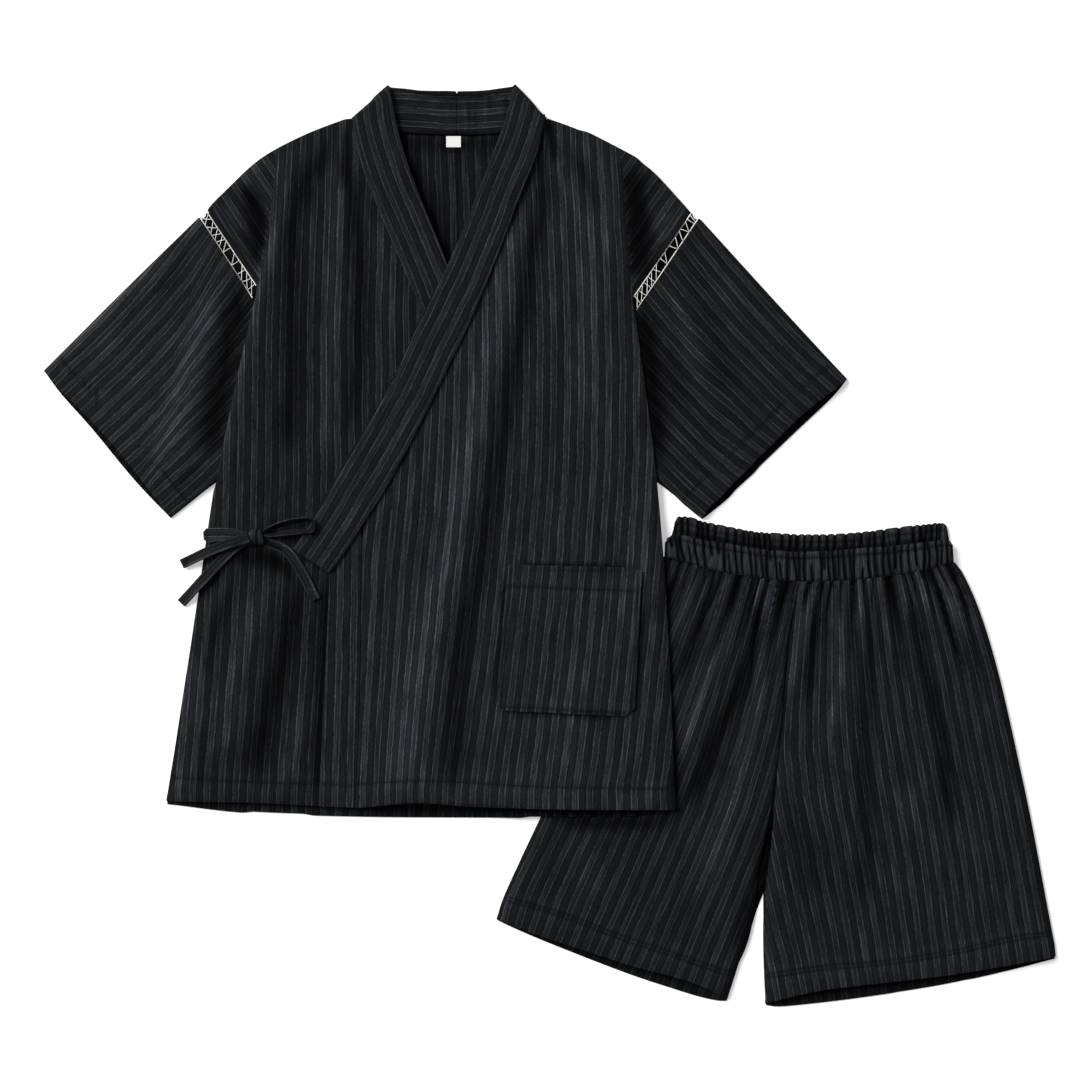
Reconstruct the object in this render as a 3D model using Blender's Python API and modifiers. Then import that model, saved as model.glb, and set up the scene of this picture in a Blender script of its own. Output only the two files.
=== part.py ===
"""Jinbei set laid flat: a wrap jacket lying over the edge of its gathered shorts.

Sizes are millimetres, turned into metres when a mesh is made. The floor is z = 0.
"""

import math
from collections import namedtuple

import bmesh
import bpy
import numpy as np
from mathutils.geometry import delaunay_2d_cdt

MM = 0.001

# Cloth walls
CLOTH = 1.4
COLLAR = 2.4
TAPE = 1.6
SEAM = 0.3
SIDE_SEAM = 0.5
RISE_GAP = 0.8

# Heights of the undersides of the layers, over the floor or over the shorts
CLOSED_EDGE = CLOTH + SEAM
SLEEVE_LOFT = 6.0
OVER_SLEEVE = SLEEVE_LOFT + CLOTH + 0.4
UNDER_LOFT = 9.0
UNDER_HIDDEN = 6.3
OVER_LOFT = 12.0
OVER_LOFT_RIGHT = 9.6
OVER_AT_COLLAR = 10.9
OVER_AT_EDGE = UNDER_HIDDEN + CLOTH + 0.4
SHORTS_LOFT = 8.0
SHORTS_HIDDEN = 4.9
JACKET_LIFT = 7.0
LIFT_RAMP = 45.0

# Widths over which a surface rounds down to its closed edge
SIDE_ROUND = 20.0
SHOULDER_ROUND = 16.0
SLEEVE_ROUND = 15.0
LEG_ROUND = 14.0

# Jacket
Side = namedtuple("Side", "y left right")
JACKET_SIDES = (
    Side(409, -290, 77),
    Side(330, -299, 82),
    Side(264, -312, 88.5),
    Side(181, -331, 100),
    Side(92, -349, 111.5),
    Side(29, -359, 117.5),
    Side(-25, -367, 121.5),
    Side(-100, -378, 126),
    Side(-165, -388, 129),
    Side(-280, -406, 133),
)
SHOULDER_LEFT = ((-210, 453), (-257, 435), (-306, 409), (-344, 374), (-363, 355))
SHOULDER_RIGHT = ((-2, 454), (29, 443), (61, 427), (103, 404), (126, 381), (150, 354))
LACE_LEFT = ((-363, 355), (-310, 276))
LACE_RIGHT = ((150, 354), (88, 264))
HEM_FRONT = (
    (-405, -271), (-319, -272), (-245, -276), (-206, -277.5), (-183, -276), (-153, -272),
    (-123, -273), (-91, -276), (-31, -278), (54, -279), (132.5, -279.5),
)
HEM_BACK = ((-405, -273), (-324, -282), (-211, -286), (-98, -287), (77, -287), (132.5, -281))
FREE_EDGE = ((-233, -29), (-240, -177), (-245, -275.5))
OKUMI_SEAM = ((-197, 24), (-199, -15), (-201.5, -165), (-206, -277.5))
HIDDEN_EDGE = ((-21, -22), (-27, -275))
BACK_SHOULDER_LEFT = ((-210, 451.5), (-257, 433.5), (-306, 407.5), (-336, 380))
BACK_SHOULDER_RIGHT = ((-2, 452), (29, 441.5), (61, 425.5), (103, 402.5), (122, 383))
BACK_BESIDE_LEFT = ((-279, 240), (-293, 165), (-312, 92), (-330, 62), (-357, 40))
BACK_BESIDE_RIGHT = ((58, 238), (63, 160), (75, 92), (88, 60), (115, 42))
UNDER_HEM_HIDDEN = ((-245, -276), (-136, -274), (-27, -275))
NECK_BACK = ((-209, 452), (-161, 439), (-98, 436), (-47, 439), (-3, 453))

# Collar: its two edges run from the fold beside the neck to the lower end
OVER_INNER = ((-37, 487), (-43, 464), (-51, 439), (-72, 385), (-99, 317), (-131, 252), (-176, 158),
              (-214, 95), (-251, 30), (-272, -3))
OVER_OUTER = ((-3, 453), (-8, 434), (-16, 407), (-33, 366), (-74, 260), (-106, 192), (-134, 135),
              (-168, 70), (-197, 24), (-222, -15), (-233, -29))
UNDER_INNER = ((-171, 487), (-168, 473), (-161, 442), (-148, 397), (-116, 319), (-86, 240),
               (-38, 120), (22, 9))
UNDER_OUTER = ((-210, 453), (-209, 436), (-204, 414), (-188, 372), (-145, 271), (-124, 218),
               (-78, 100), (-19, -20))
BACK_TOP = ((-171, 487), (-137, 482), (-98, 479), (-63, 481), (-37, 487))
COLLAR_LAP = 6.0
COLLAR_BACK_Z = CLOSED_EDGE + COLLAR / 2
COLLAR_UNDER_Z = UNDER_HIDDEN + CLOTH + SEAM + COLLAR / 2
COLLAR_OVER_Z = OVER_AT_COLLAR + CLOTH + 2 * SEAM + COLLAR / 2

# Sleeves: the upper fold, the cuffs of the front and back walls, the lower seam
Sleeve = namedtuple("Sleeve", "top cuff_front cuff_back bottom hidden")
SLEEVE_L = Sleeve(
    top=((-372, 347), (-448, 275), (-494, 229), (-537, 186)),
    cuff_front=((-537, 186), (-517, 163), (-484, 131), (-458, 101), (-433, 70), (-403, 30)),
    cuff_back=((-537, 186), (-519, 161), (-488, 127), (-463, 96), (-437, 65), (-403, 30)),
    bottom=((-403, 30), (-357, 66), (-327, 86)),
    hidden=((-297, 238), (-307, 170), (-327, 86)),
)
SLEEVE_R = Sleeve(
    top=((160, 344), (238, 261), (298, 196), (316, 177)),
    cuff_front=((316, 177), (306, 168), (269, 140), (228, 99), (191, 65), (169, 42), (163, 31)),
    cuff_back=((316, 177), (302, 159), (265.5, 125), (227.5, 88.5), (191.5, 54.5), (171, 37), (163, 31)),
    bottom=((163, 31), (116, 67), (88, 84)),
    hidden=((74, 226), (76, 160), (88, 84)),
)

# Openwork strips between shoulder and sleeve
LACE_WIDTH = 10.4
LACE_RAIL = 1.5
LACE_BAR = 1.2
LACE_PITCH = 9.4
LACE_FLARE = 0.0088
SLEEVE_UNDER_LACE = 13.5

# Patch pocket, its label and its ties
PATCH_GAP = 0.45
POCKET = ((-44, -20), (98, -23), (90, -176), (86, -180), (-57, -174))
LABEL_AT = (-102, 428.5)
LABEL_SIZE = (15.5, 13.0, 0.5)
KNOT_AT = (-310, 10)
KNOT_SIZE = (15.0, 14.0, 8.0)
TAPE_WIDTH = 10.5
Turn = namedtuple("Turn", "x y raised")
TIE_PATHS = {
    "tie_strand_side": (Turn(-319, 12, 0.0), Turn(-343, 13, 0.0), Turn(-363.5, 11.5, 0.0)),
    "tie_tail_left": (Turn(-319, 7, 2.2), Turn(-329, 2, 2.2), Turn(-342.5, -9.5, 1.4),
                      Turn(-363, -31, 0.3), Turn(-391.5, -61, 0.3)),
    "tie_tail_right": (Turn(-302, 5, 0.0), Turn(-280, -4, 0.0), Turn(-266, -22, 0.0),
                       Turn(-247.5, -57, 0.2)),
}
LOOP_PATHS = {
    "tie_loop_left": (
        (Turn(-318, 9, 4.6), Turn(-338, 3, 4.2), Turn(-357, -4, 2.2), Turn(-374, -11.5, 0.6),
         Turn(-389, -18.5, 0.3)),
        (Turn(-318, 9, 6.9), Turn(-338, 3, 6.5), Turn(-357, -4, 4.5), Turn(-374, -11.5, 2.9),
         Turn(-389, -18.5, 2.6)),
    ),
    "tie_loop_right": (
        (Turn(-300, 12, 2.0), Turn(-282, 14, 3.0), Turn(-264, 17, 5.4), Turn(-253, 18, 5.8)),
        (Turn(-302, 14, 4.3), Turn(-287, 20, 5.4), Turn(-270, 25, 7.8), Turn(-255, 25, 8.1)),
    ),
}

# Shorts
BAND_SEAM = ((121, -11), (142, -16), (176, -26), (211, -32), (257, -37), (303, -37), (349, -33),
             (395, -26), (430, -17))
BAND_TOP_FRONT = ((126, 12), (134, 18), (153, 12), (188, 4), (234, -2), (280, -4.5), (326, -3),
                  (372, 2), (406, 6), (424, 8))
BAND_TOP_BACK = ((128, 20), (138, 29), (153, 28), (188, 21), (234, 14), (280, 11), (326, 13),
                 (372, 20), (406, 24), (424, 17))
RISE_SEAM_TOP = 266
OUTER_RIGHT = ((430, -17), (446, -46), (462, -89), (478, -145), (490, -201), (504, -263), (518, -335),
               (530, -400), (537, -436))
RISE_SEAM = ((266, -37), (260, -61), (252, -108), (249, -170), (240, -232), (238, -283))
FRONT_LEG_RIGHT = ((237, -304), (234.6, -330), (230, -357), (227, -380), (227, -453), (229.5, -486))
FRONT_LEG_LEFT = ((230, -303), (225.5, -320), (222, -341), (220, -372), (209, -418), (196.5, -458),
                  (189, -481))
BACK_LEG_RIGHT = ((233.5, -320), (229, -345), (227, -366), (227, -393), (227.6, -453), (229.5, -488))
BACK_LEG_LEFT = ((233.5, -320), (229, -345), (226.5, -366), (215, -391), (207.5, -418), (195.5, -458),
                 (189, -483))
OUTER_LEFT = ((121, -11), (107, -47), (80, -100), (43, -179), (-9, -288), (-48, -371), (-56, -396))
FRONT_HEM_RIGHT = ((229.5, -486), (246, -481), (291, -471), (358, -463), (425, -455), (492, -444),
                   (537, -436))
FRONT_HEM_LEFT = ((-56, -396), (-20, -410), (34, -428), (89, -446), (132, -457), (164, -468),
                  (189, -481))
BACK_HEM_RIGHT = ((229.5, -488), (246, -488.5), (297, -484), (358, -476), (425, -465), (492, -449.5),
                  (537, -437.5))
BACK_HEM_LEFT = ((-56, -396.5), (-20, -413), (34, -434.5), (89, -455), (132, -469), (164, -479),
                 (189, -483))
CROTCH_Y = -283.0
BAND_WAVES = 48
BACK_BAND_WAVES = 46
PLEATS_A_LEG = 14
PLEAT_RISE = 4.4
PLEAT_FADE = 190.0
BAND_BACK_CORE = 1.7
BAND_FRONT_UNDER = 8.0
BAND_CORE = 2.2
BAND_WAVE = 1.9
BAND_SCALLOP = 1.2

# Folds: a soft ridge or trough along three points
Fold = namedtuple("Fold", "start middle end width height")
OVER_FOLDS = (
    Fold((-52, 324), (-78, 100), (-117, -38), 15, 2.6),
    Fold((-117, -38), (-134, -130), (-158, -270), 15, 3.6),
    Fold((-22, 330), (-45, 150), (-75, 19), 13, -1.1),
    Fold((-75, 19), (-88, -100), (-105, -270), 14, -2.2),
    Fold((66, 395), (64, 330), (60, 250), 14, 1.8),
    Fold((34, 395), (38, 350), (42, 280), 11, -1.4),
    Fold((30, 60), (36, -100), (34, -270), 24, 1.4),
)
UNDER_FOLDS = (
    Fold((-219, 405), (-222, 353), (-221, 280), 10, 2.0),
    Fold((-241, 390), (-248, 310), (-252, 200), 10, -1.8),
    Fold((-286, 350), (-296, 310), (-306, 262), 10, 1.5),
    Fold((-339, -95), (-350, -150), (-362, -265), 15, 1.6),
    Fold((-280, -70), (-302, -150), (-319, -265), 13, -2.0),
    Fold((-262, -160), (-271, -210), (-281, -270), 12, 1.6),
)

# Colours of the cloth, thread and label, as sRGB
CLOTH_COLOUR = "1f2024"
SHORTS_COLOUR = "1c1d20"
COLLAR_COLOUR = "222327"
LACE_COLOUR = "d8d4c8"
LABEL_COLOUR = "eeeeec"
CLOTH_ROUGHNESS = 0.9

PANEL_SPACING = 24.0
BACK_SPACING = 32.0
EDGE_STEP = 16.0


# ---------------------------------------------------------------- curves and fields
def resample(points, step):
    """The polyline with a point about every step."""
    points = np.asarray(points, float)
    lengths = np.concatenate([[0], np.cumsum(np.linalg.norm(np.diff(points, axis=0), axis=1))])
    along = np.linspace(0, lengths[-1], max(2, round(lengths[-1] / step) + 1))
    return np.stack([np.interp(along, lengths, column) for column in points.T], axis=1)


def smooth_curve(points, step):
    """A Catmull-Rom curve through the points, with a point about every step."""
    points = np.asarray(points, float)
    padded = np.vstack([2 * points[0] - points[1], points, 2 * points[-1] - points[-2]])
    pieces = []
    for before, start, end, after in zip(padded, padded[1:], padded[2:], padded[3:]):
        t = np.linspace(0, 1, 13)[:-1, None]
        pieces.append(
            0.5 * (2 * start + (end - before) * t + (2 * before - 5 * start + 4 * end - after) * t**2
                   + (3 * start - before - 3 * end + after) * t**3)
        )
    return resample(np.vstack(pieces + [points[-1:]]), step)


def distance_to(points, line):
    """The distance from each point to a polyline."""
    points = np.asarray(points, float)[:, None, :]
    start, end = np.asarray(line, float)[:-1], np.asarray(line, float)[1:]
    run = end - start
    along = ((points - start) * run).sum(-1) / np.maximum((run**2).sum(-1), 1e-9)
    nearest = start + np.clip(along, 0, 1)[..., None] * run
    return np.linalg.norm(points - nearest, axis=-1).min(axis=1)


def inside(points, outline):
    """Whether each point is inside a closed outline."""
    x, y = np.asarray(points, float).T[:, :, None]
    ax, ay = np.asarray(outline, float).T
    bx, by = np.roll(ax, -1), np.roll(ay, -1)
    rise = np.where(by == ay, 1e-9, by - ay)
    crossing = ((ay > y) != (by > y)) & (x < ax + (y - ay) * (bx - ax) / rise)
    return crossing.sum(axis=1) % 2 == 1


def smoothstep(t):
    t = np.clip(t, 0, 1)
    return t * t * (3 - 2 * t)


def rounded(t):
    """0 at a closed edge and 1 a full rounding width inside it, steep at first."""
    t = np.clip(t, 0, 1)
    return np.sqrt(1 - (1 - t) ** 2)


def mix(first, second, share):
    return first + (second - first) * share


def x_on(curve, y):
    """The x of a curve, which runs up or down, at each height y."""
    curve = np.asarray(curve, float)
    order = np.argsort(curve[:, 1])
    return np.interp(y, curve[order, 1], curve[order, 0])


def y_on(curve, x):
    """The y of a curve, which runs sideways, at x."""
    order = np.argsort(curve[:, 0])
    return float(np.interp(x, curve[order, 0], curve[order, 1]))


def shifted(curve, by):
    """The curve moved sideways, to the right of its direction."""
    curve = np.asarray(curve, float)
    run = np.gradient(curve, axis=0)
    run /= np.linalg.norm(run, axis=1)[:, None]
    return curve + by * np.stack([run[:, 1], -run[:, 0]], axis=1)


LEFT_SIDE = smooth_curve([(row.left, row.y) for row in JACKET_SIDES], 8)
RIGHT_SIDE = smooth_curve([(row.right, row.y) for row in JACKET_SIDES], 8)
OVER_OUTER_CURVE = smooth_curve(OVER_OUTER, 8)
UNDER_OUTER_CURVE = smooth_curve(UNDER_OUTER, 8)
SHOULDER_LEFT_CURVE = smooth_curve(SHOULDER_LEFT, 8)
SHOULDER_RIGHT_CURVE = smooth_curve(SHOULDER_RIGHT, 8)
DIVIDER = np.vstack([OVER_OUTER_CURVE, smooth_curve(FREE_EDGE, 8)[1:]])
SHORTS_LEFT = smooth_curve(OUTER_LEFT, 8)


# ---------------------------------------------------------------- heights of the layers
def lift(x, y):
    """How far the shorts raise the jacket."""
    beside = (x - x_on(SHORTS_LEFT, y)) * 0.89
    ramp = smoothstep((beside + LIFT_RAMP) / (LIFT_RAMP + 5))
    return JACKET_LIFT * ramp * smoothstep((75 - y) / 60)


def fold_heights(folds, x, y):
    """The sum of the folds' soft ridges and troughs, each fading at its ends."""
    points = np.stack([x, y], axis=1)
    total = np.zeros(len(points))
    for fold in folds:
        spine = smooth_curve((fold.start, fold.middle, fold.end), 12)
        run = spine[-1] - spine[0]
        along = ((points - spine[0]) @ run) / (run @ run)
        fade = smoothstep((along + 0.12) / 0.2) * smoothstep((1.12 - along) / 0.2)
        total += fold.height * fade * np.exp(-((distance_to(points, spine) / fold.width) ** 2))
    return total


def side_height(y, lace_end, sleeve_end):
    """The underside of a front at its side edge: on the cap, on the sleeve, then on the back."""
    on_sleeve = mix(CLOSED_EDGE, OVER_SLEEVE, smoothstep((y - sleeve_end + 31) / 40))
    return mix(on_sleeve, SLEEVE_LOFT, smoothstep((y - lace_end) / 22))


def front_height(x, y, loft, inward, edge, shoulder):
    """The underside of a front: its edge, the rise past the side crease, and the shoulder."""
    rise = smoothstep((440 - y) / 130)
    height = edge + (loft - edge) * rise * rounded(inward / SIDE_ROUND)
    points = np.stack([x, y], axis=1)
    at_shoulder = rounded(distance_to(points, shoulder) / SHOULDER_ROUND)
    return CLOSED_EDGE + (height - CLOSED_EDGE) * at_shoulder


def under_height(x, y):
    """The underside of the front that lies under."""
    points = np.stack([x, y], axis=1)
    visible = 1 - smoothstep((x - x_on(DIVIDER, y) + 60) / 60)
    off_collar = smoothstep((distance_to(points, UNDER_OUTER_CURVE) - 7) / 40)
    loft = mix(UNDER_HIDDEN, UNDER_LOFT, visible * off_collar)
    loft += fold_heights(UNDER_FOLDS, x, y) * visible * off_collar
    inward = x - x_on(LEFT_SIDE, y)
    edge = side_height(y, 266, 66)
    return front_height(x, y, loft, inward, edge, SHOULDER_LEFT_CURVE) + lift(x, y)


def over_height(x, y):
    """The underside of the front that lies over, and of its overlap strip."""
    inner = mix(OVER_LOFT, OVER_LOFT_RIGHT, smoothstep((x - 30) / 45))
    at_edge = mix(OVER_AT_EDGE, OVER_AT_COLLAR, smoothstep((y + 62) / 45))
    width = mix(95, 40, smoothstep((y + 62) / 60))
    away = smoothstep((x - x_on(DIVIDER, y) - 7) / width)
    loft = mix(at_edge, inner, away) + fold_heights(OVER_FOLDS, x, y) * away
    inward = x_on(RIGHT_SIDE, y) - x
    edge = np.maximum(side_height(y, 253, 67), CLOSED_EDGE)
    return front_height(x, y, loft, inward, edge, SHOULDER_RIGHT_CURVE) + lift(x, y)


def above(height, x, y, reach=4.0):
    """The highest of a layer's heights within reach of each point."""
    around = [height(x + dx, y + dy) for dx in (-reach, 0, reach) for dy in (-reach, 0, reach)]
    return np.max(around, axis=0)


# ---------------------------------------------------------------- meshes
def linear(colour):
    """Linear red, green and blue of an sRGB hex colour."""
    parts = [int(colour[at:at + 2], 16) / 255 for at in (0, 2, 4)]
    return [part / 12.92 if part < 0.04045 else ((part + 0.055) / 1.055) ** 2.4 for part in parts]


def cloth_material(name, colour):
    material = bpy.data.materials.new(name)
    material.use_nodes = True
    principled = material.node_tree.nodes["Principled BSDF"]
    principled.inputs["Base Color"].default_value = [*linear(colour), 1]
    principled.inputs["Roughness"].default_value = CLOTH_ROUGHNESS
    return material


def new_object(name, points, faces, colour):
    """An object of the set, from points in millimetres."""
    mesh = bpy.data.meshes.new(name)
    mesh.from_pydata((np.asarray(points, float) * MM).tolist(), [], faces)
    shape = bmesh.new()
    shape.from_mesh(mesh)
    bmesh.ops.recalc_face_normals(shape, faces=shape.faces)
    shape.to_mesh(mesh)
    shape.free()
    mesh.materials.append(cloth_material(name, colour))
    made = bpy.data.objects.new(name, mesh)
    GARMENT.objects.link(made)
    return made


def face_up(made):
    """Turns an open sheet so that its faces look upwards."""
    if sum(face.normal.z * face.area for face in made.data.polygons) < 0:
        made.data.flip_normals()


def thicken(made, wall, offset):
    solid = made.modifiers.new("Wall", "SOLIDIFY")
    solid.thickness = wall * MM
    solid.offset = offset
    return made


def lattice(outline, spacing, lines):
    """Staggered points inside an outline, clear of it and of the crease lines."""
    low, high = outline.min(axis=0), outline.max(axis=0)
    row_step = spacing * math.sqrt(3) / 2
    points = []
    for row in range(math.floor(low[1] / row_step), math.ceil(high[1] / row_step) + 1):
        for column in range(math.floor(low[0] / spacing) - 1, math.ceil(high[0] / spacing) + 1):
            points.append(((column + 0.5 * (row % 2)) * spacing, row * row_step))
    points = np.array(points)
    points = points[inside(points, outline)]
    points = points[distance_to(points, np.vstack([outline, outline[:1]])) > 0.45 * spacing]
    for line in lines:
        points = points[distance_to(points, line) > 0.45 * spacing]
    return points


def panel_mesh(outline, lines, spacing):
    """Points and triangles of a flat panel, with its crease lines as edges."""
    points = [outline]
    edges = []
    count = len(outline)
    for line in lines:
        points.append(line)
        edges += [(at, at + 1) for at in range(count, count + len(line) - 1)]
        count += len(line)
    points.append(lattice(outline, spacing, lines))
    flat = np.vstack(points)
    made = delaunay_2d_cdt(flat.tolist(), edges, [list(range(len(outline)))], 1, 1e-3)
    return np.array([tuple(point) for point in made[0]]), [list(face) for face in made[2]]


def panel(name, outline, height, colour, lines=(), spacing=PANEL_SPACING, wall=CLOTH):
    """A cut piece of cloth whose underside has the given height."""
    outline = np.asarray(outline, float)
    flat, faces = panel_mesh(outline, lines, spacing)
    points = np.column_stack([flat, height(flat[:, 0], flat[:, 1])])
    made = new_object(name, points, faces, colour)
    face_up(made)
    return thicken(made, wall, 1)


def join_lines(*lines):
    """One closed outline from curves that follow each other, without doubled ends."""
    points = []
    for line in lines:
        for point in np.asarray(line, float):
            if not points or np.linalg.norm(point - points[-1]) > 0.5:
                points.append(point)
    if np.linalg.norm(points[0] - points[-1]) < 0.5:
        points.pop()
    return np.array(points)


def grid_object(name, grid, colour, closed=False):
    """A surface through rows of points; closed rows make a tube."""
    rows, columns = grid.shape[:2]
    faces = []
    for row in range(rows - 1):
        for column in range(columns if closed else columns - 1):
            beside = (column + 1) % columns
            faces.append((row * columns + column, row * columns + beside,
                          (row + 1) * columns + beside, (row + 1) * columns + column))
    return new_object(name, grid.reshape(-1, 3), faces, colour)


def capped_loft(name, rings, colour):
    """A closed solid through rings of points, with its two ends filled."""
    count, sides = rings.shape[:2]
    made = grid_object(name, rings, colour, closed=True)
    shape = bmesh.new()
    shape.from_mesh(made.data)
    shape.verts.ensure_lookup_table()
    for first in (0, (count - 1) * sides):
        shape.faces.new([shape.verts[first + at] for at in range(sides)])
    bmesh.ops.recalc_face_normals(shape, faces=shape.faces)
    shape.to_mesh(made.data)
    shape.free()
    return made


def at_share(curve, share):
    """The points of a curve at these shares of its length."""
    lengths = np.concatenate([[0], np.cumsum(np.linalg.norm(np.diff(curve, axis=0), axis=1))])
    along = np.asarray(share) * lengths[-1]
    return np.stack([np.interp(along, lengths, column) for column in curve.T], axis=-1)


def coons(top, bottom, left, right, across, down):
    """A flat patch between four curves, as rows of points."""
    s, t = np.meshgrid(across, down)
    s, t = s[..., None], t[..., None]
    upper, lower = at_share(top, across)[None], at_share(bottom, across)[None]
    first, last = at_share(left, down)[:, None], at_share(right, down)[:, None]
    corners = ((1 - s) * (1 - t) * top[0] + s * (1 - t) * top[-1]
               + (1 - s) * t * bottom[0] + s * t * bottom[-1])
    return (1 - t) * upper + t * lower + (1 - s) * first + s * last - corners


# ---------------------------------------------------------------- jacket body
def side_run(curve, high, low):
    """A stretch of a side from one height down to another."""
    heights = np.linspace(high, low, max(2, round((high - low) / EDGE_STEP)))
    return np.column_stack([x_on(curve, heights), heights])


def jacket_back():
    """The back, narrower beside the sleeves, whose back walls reach in under the shoulder."""
    armholes = []
    for line, side, beside in ((LACE_LEFT, 1, BACK_BESIDE_LEFT), (LACE_RIGHT, -1, BACK_BESIDE_RIGHT)):
        place, length = lace_frame(line, side)
        edge = SLEEVE_UNDER_LACE + LACE_WIDTH + 2 * SEAM
        armholes.append(resample([place(14, edge), place(length - 6, edge), *beside], EDGE_STEP))
    outline = join_lines(
        resample(BACK_SHOULDER_LEFT, EDGE_STEP), armholes[0],
        side_run(LEFT_SIDE, 24, -262), smooth_curve(HEM_BACK, EDGE_STEP),
        side_run(RIGHT_SIDE, 26, -262)[::-1], armholes[1][::-1],
        resample(BACK_SHOULDER_RIGHT, EDGE_STEP)[::-1], smooth_curve(NECK_BACK, EDGE_STEP)[::-1],
    )
    return panel("jacket_back", outline, lift, CLOTH_COLOUR, spacing=BACK_SPACING)


def front_under():
    """The front that lies under, with its hidden overlap."""
    neckline = shifted(UNDER_OUTER_CURVE, -COLLAR_LAP)
    neckline = resample(neckline[(neckline[:, 1] < 444)], EDGE_STEP)
    left_end = np.array(LACE_LEFT[1])
    outline = join_lines(
        neckline[::-1], smooth_curve(SHOULDER_LEFT, EDGE_STEP), resample(LACE_LEFT, EDGE_STEP),
        [left_end], side_run(LEFT_SIDE, 264, -262),
        smooth_curve(HEM_FRONT[:3], EDGE_STEP), resample(UNDER_HEM_HIDDEN, 2 * EDGE_STEP),
        resample(HIDDEN_EDGE, 2 * EDGE_STEP)[::-1],
    )
    creases = [smooth_curve((fold.start, fold.middle, fold.end), 20) for fold in UNDER_FOLDS]
    creases.append(resample(side_run(LEFT_SIDE, 395, 285), 20) + (4, 0))
    return panel("front_under", outline, under_height, CLOTH_COLOUR, trimmed(creases, outline))


def trimmed(lines, outline, hole=None):
    """The stretches of crease lines that lie well inside an outline and outside a hole."""
    closed = np.vstack([outline, outline[:1]])
    kept = []
    for line in lines:
        usable = inside(line, outline) & (distance_to(line, closed) > 7)
        if hole is not None:
            usable &= ~inside(line, hole) & (distance_to(line, hole) > 7)
        stretch = []
        for point, use in zip(line, usable):
            if use:
                stretch.append(point)
                continue
            if len(stretch) > 1:
                kept.append(np.array(stretch))
            stretch = []
        if len(stretch) > 1:
            kept.append(np.array(stretch))
    return kept


def pocket_line():
    return resample(POCKET + POCKET[:1], EDGE_STEP)


def front_over():
    """The front that lies over, from the collar and the overlap strip to the side."""
    neckline = shifted(OVER_OUTER_CURVE, COLLAR_LAP)
    neckline = resample(neckline[(neckline[:, 1] < 446) & (neckline[:, 0] > -190)], EDGE_STEP)
    seam = smooth_curve(OKUMI_SEAM, EDGE_STEP) + (SIDE_SEAM / 2, 0)
    hem = smooth_curve(HEM_FRONT, EDGE_STEP)
    hem = hem[hem[:, 0] > OKUMI_SEAM[-1][0] + 4]
    outline = join_lines(
        neckline, seam, hem, side_run(RIGHT_SIDE, 251, -262)[::-1],
        resample(LACE_RIGHT, EDGE_STEP)[::-1], smooth_curve(SHOULDER_RIGHT, EDGE_STEP)[::-1],
    )
    creases = [smooth_curve((fold.start, fold.middle, fold.end), 20) for fold in OVER_FOLDS]
    creases.append(resample(side_run(RIGHT_SIDE, 395, 275), 20) - (4, 0))
    patch = pocket_line()
    lines = trimmed(creases, outline, patch)
    return panel("front_over", outline, over_height, CLOTH_COLOUR, lines + [patch])


def okumi_over():
    """The overlap strip along the free edge of the upper front."""
    top = shifted(OVER_OUTER_CURVE, COLLAR_LAP)
    top = top[(top[:, 1] < 30) & (top[:, 1] > -26)]
    seam = smooth_curve(OKUMI_SEAM, EDGE_STEP) - (SIDE_SEAM / 2, 0)
    seam = seam[seam[:, 1] < 22]
    hem = smooth_curve(HEM_FRONT[2:4], EDGE_STEP)
    outline = join_lines(
        top[::-1], seam, hem[::-1][1:], smooth_curve(FREE_EDGE, EDGE_STEP)[::-1],
    )
    return panel("okumi_over", outline, over_height, CLOTH_COLOUR)


def pocket():
    """A patch pocket, made from the front's own points and moved out."""
    def height(x, y):
        return over_height(x, y) + CLOTH + PATCH_GAP

    return panel("pocket", pocket_line()[:-1], height, COLLAR_COLOUR)


# ---------------------------------------------------------------- collar
def collar_half(name, inner, outer, back_inner, back_outer, level, rows):
    """Half a collar: flat behind the neck, folded over beside it, then down the front.

    level(share) gives the middle height along the front, share running from the fold to the end.
    """
    across = np.linspace(0, 1, 4)[:, None]
    first, last = np.array(inner[0], float), np.array(outer[0], float)
    outward = np.array([(last - first)[1], -(last - first)[0]])
    outward *= np.sign(outward[1]) / np.linalg.norm(outward)
    grid = []
    for share in np.linspace(0, 1, 6)[:-1]:
        start, end = at_share(back_inner, share), at_share(back_outer, share)
        grid.append(np.column_stack([start + (end - start) * across, np.full(4, COLLAR_BACK_Z)]))
    radius = (level(0) - COLLAR_BACK_Z) / 2
    for turn in np.linspace(-90, 90, 7):
        out = (math.cos(math.radians(turn)) - 1) * radius
        height = COLLAR_BACK_Z + radius * (1 + math.sin(math.radians(turn)))
        edge = first + (last - first) * across + outward * out
        grid.append(np.column_stack([edge, np.full(4, height)]))
    for share in np.linspace(0, 1, rows)[1:]:
        start, end = at_share(inner, share), at_share(outer, share)
        grid.append(np.column_stack([start + (end - start) * across, np.full(4, level(share))]))
    made = grid_object(name, np.array(grid), COLLAR_COLOUR)
    return thicken(made, COLLAR, 0)


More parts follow.
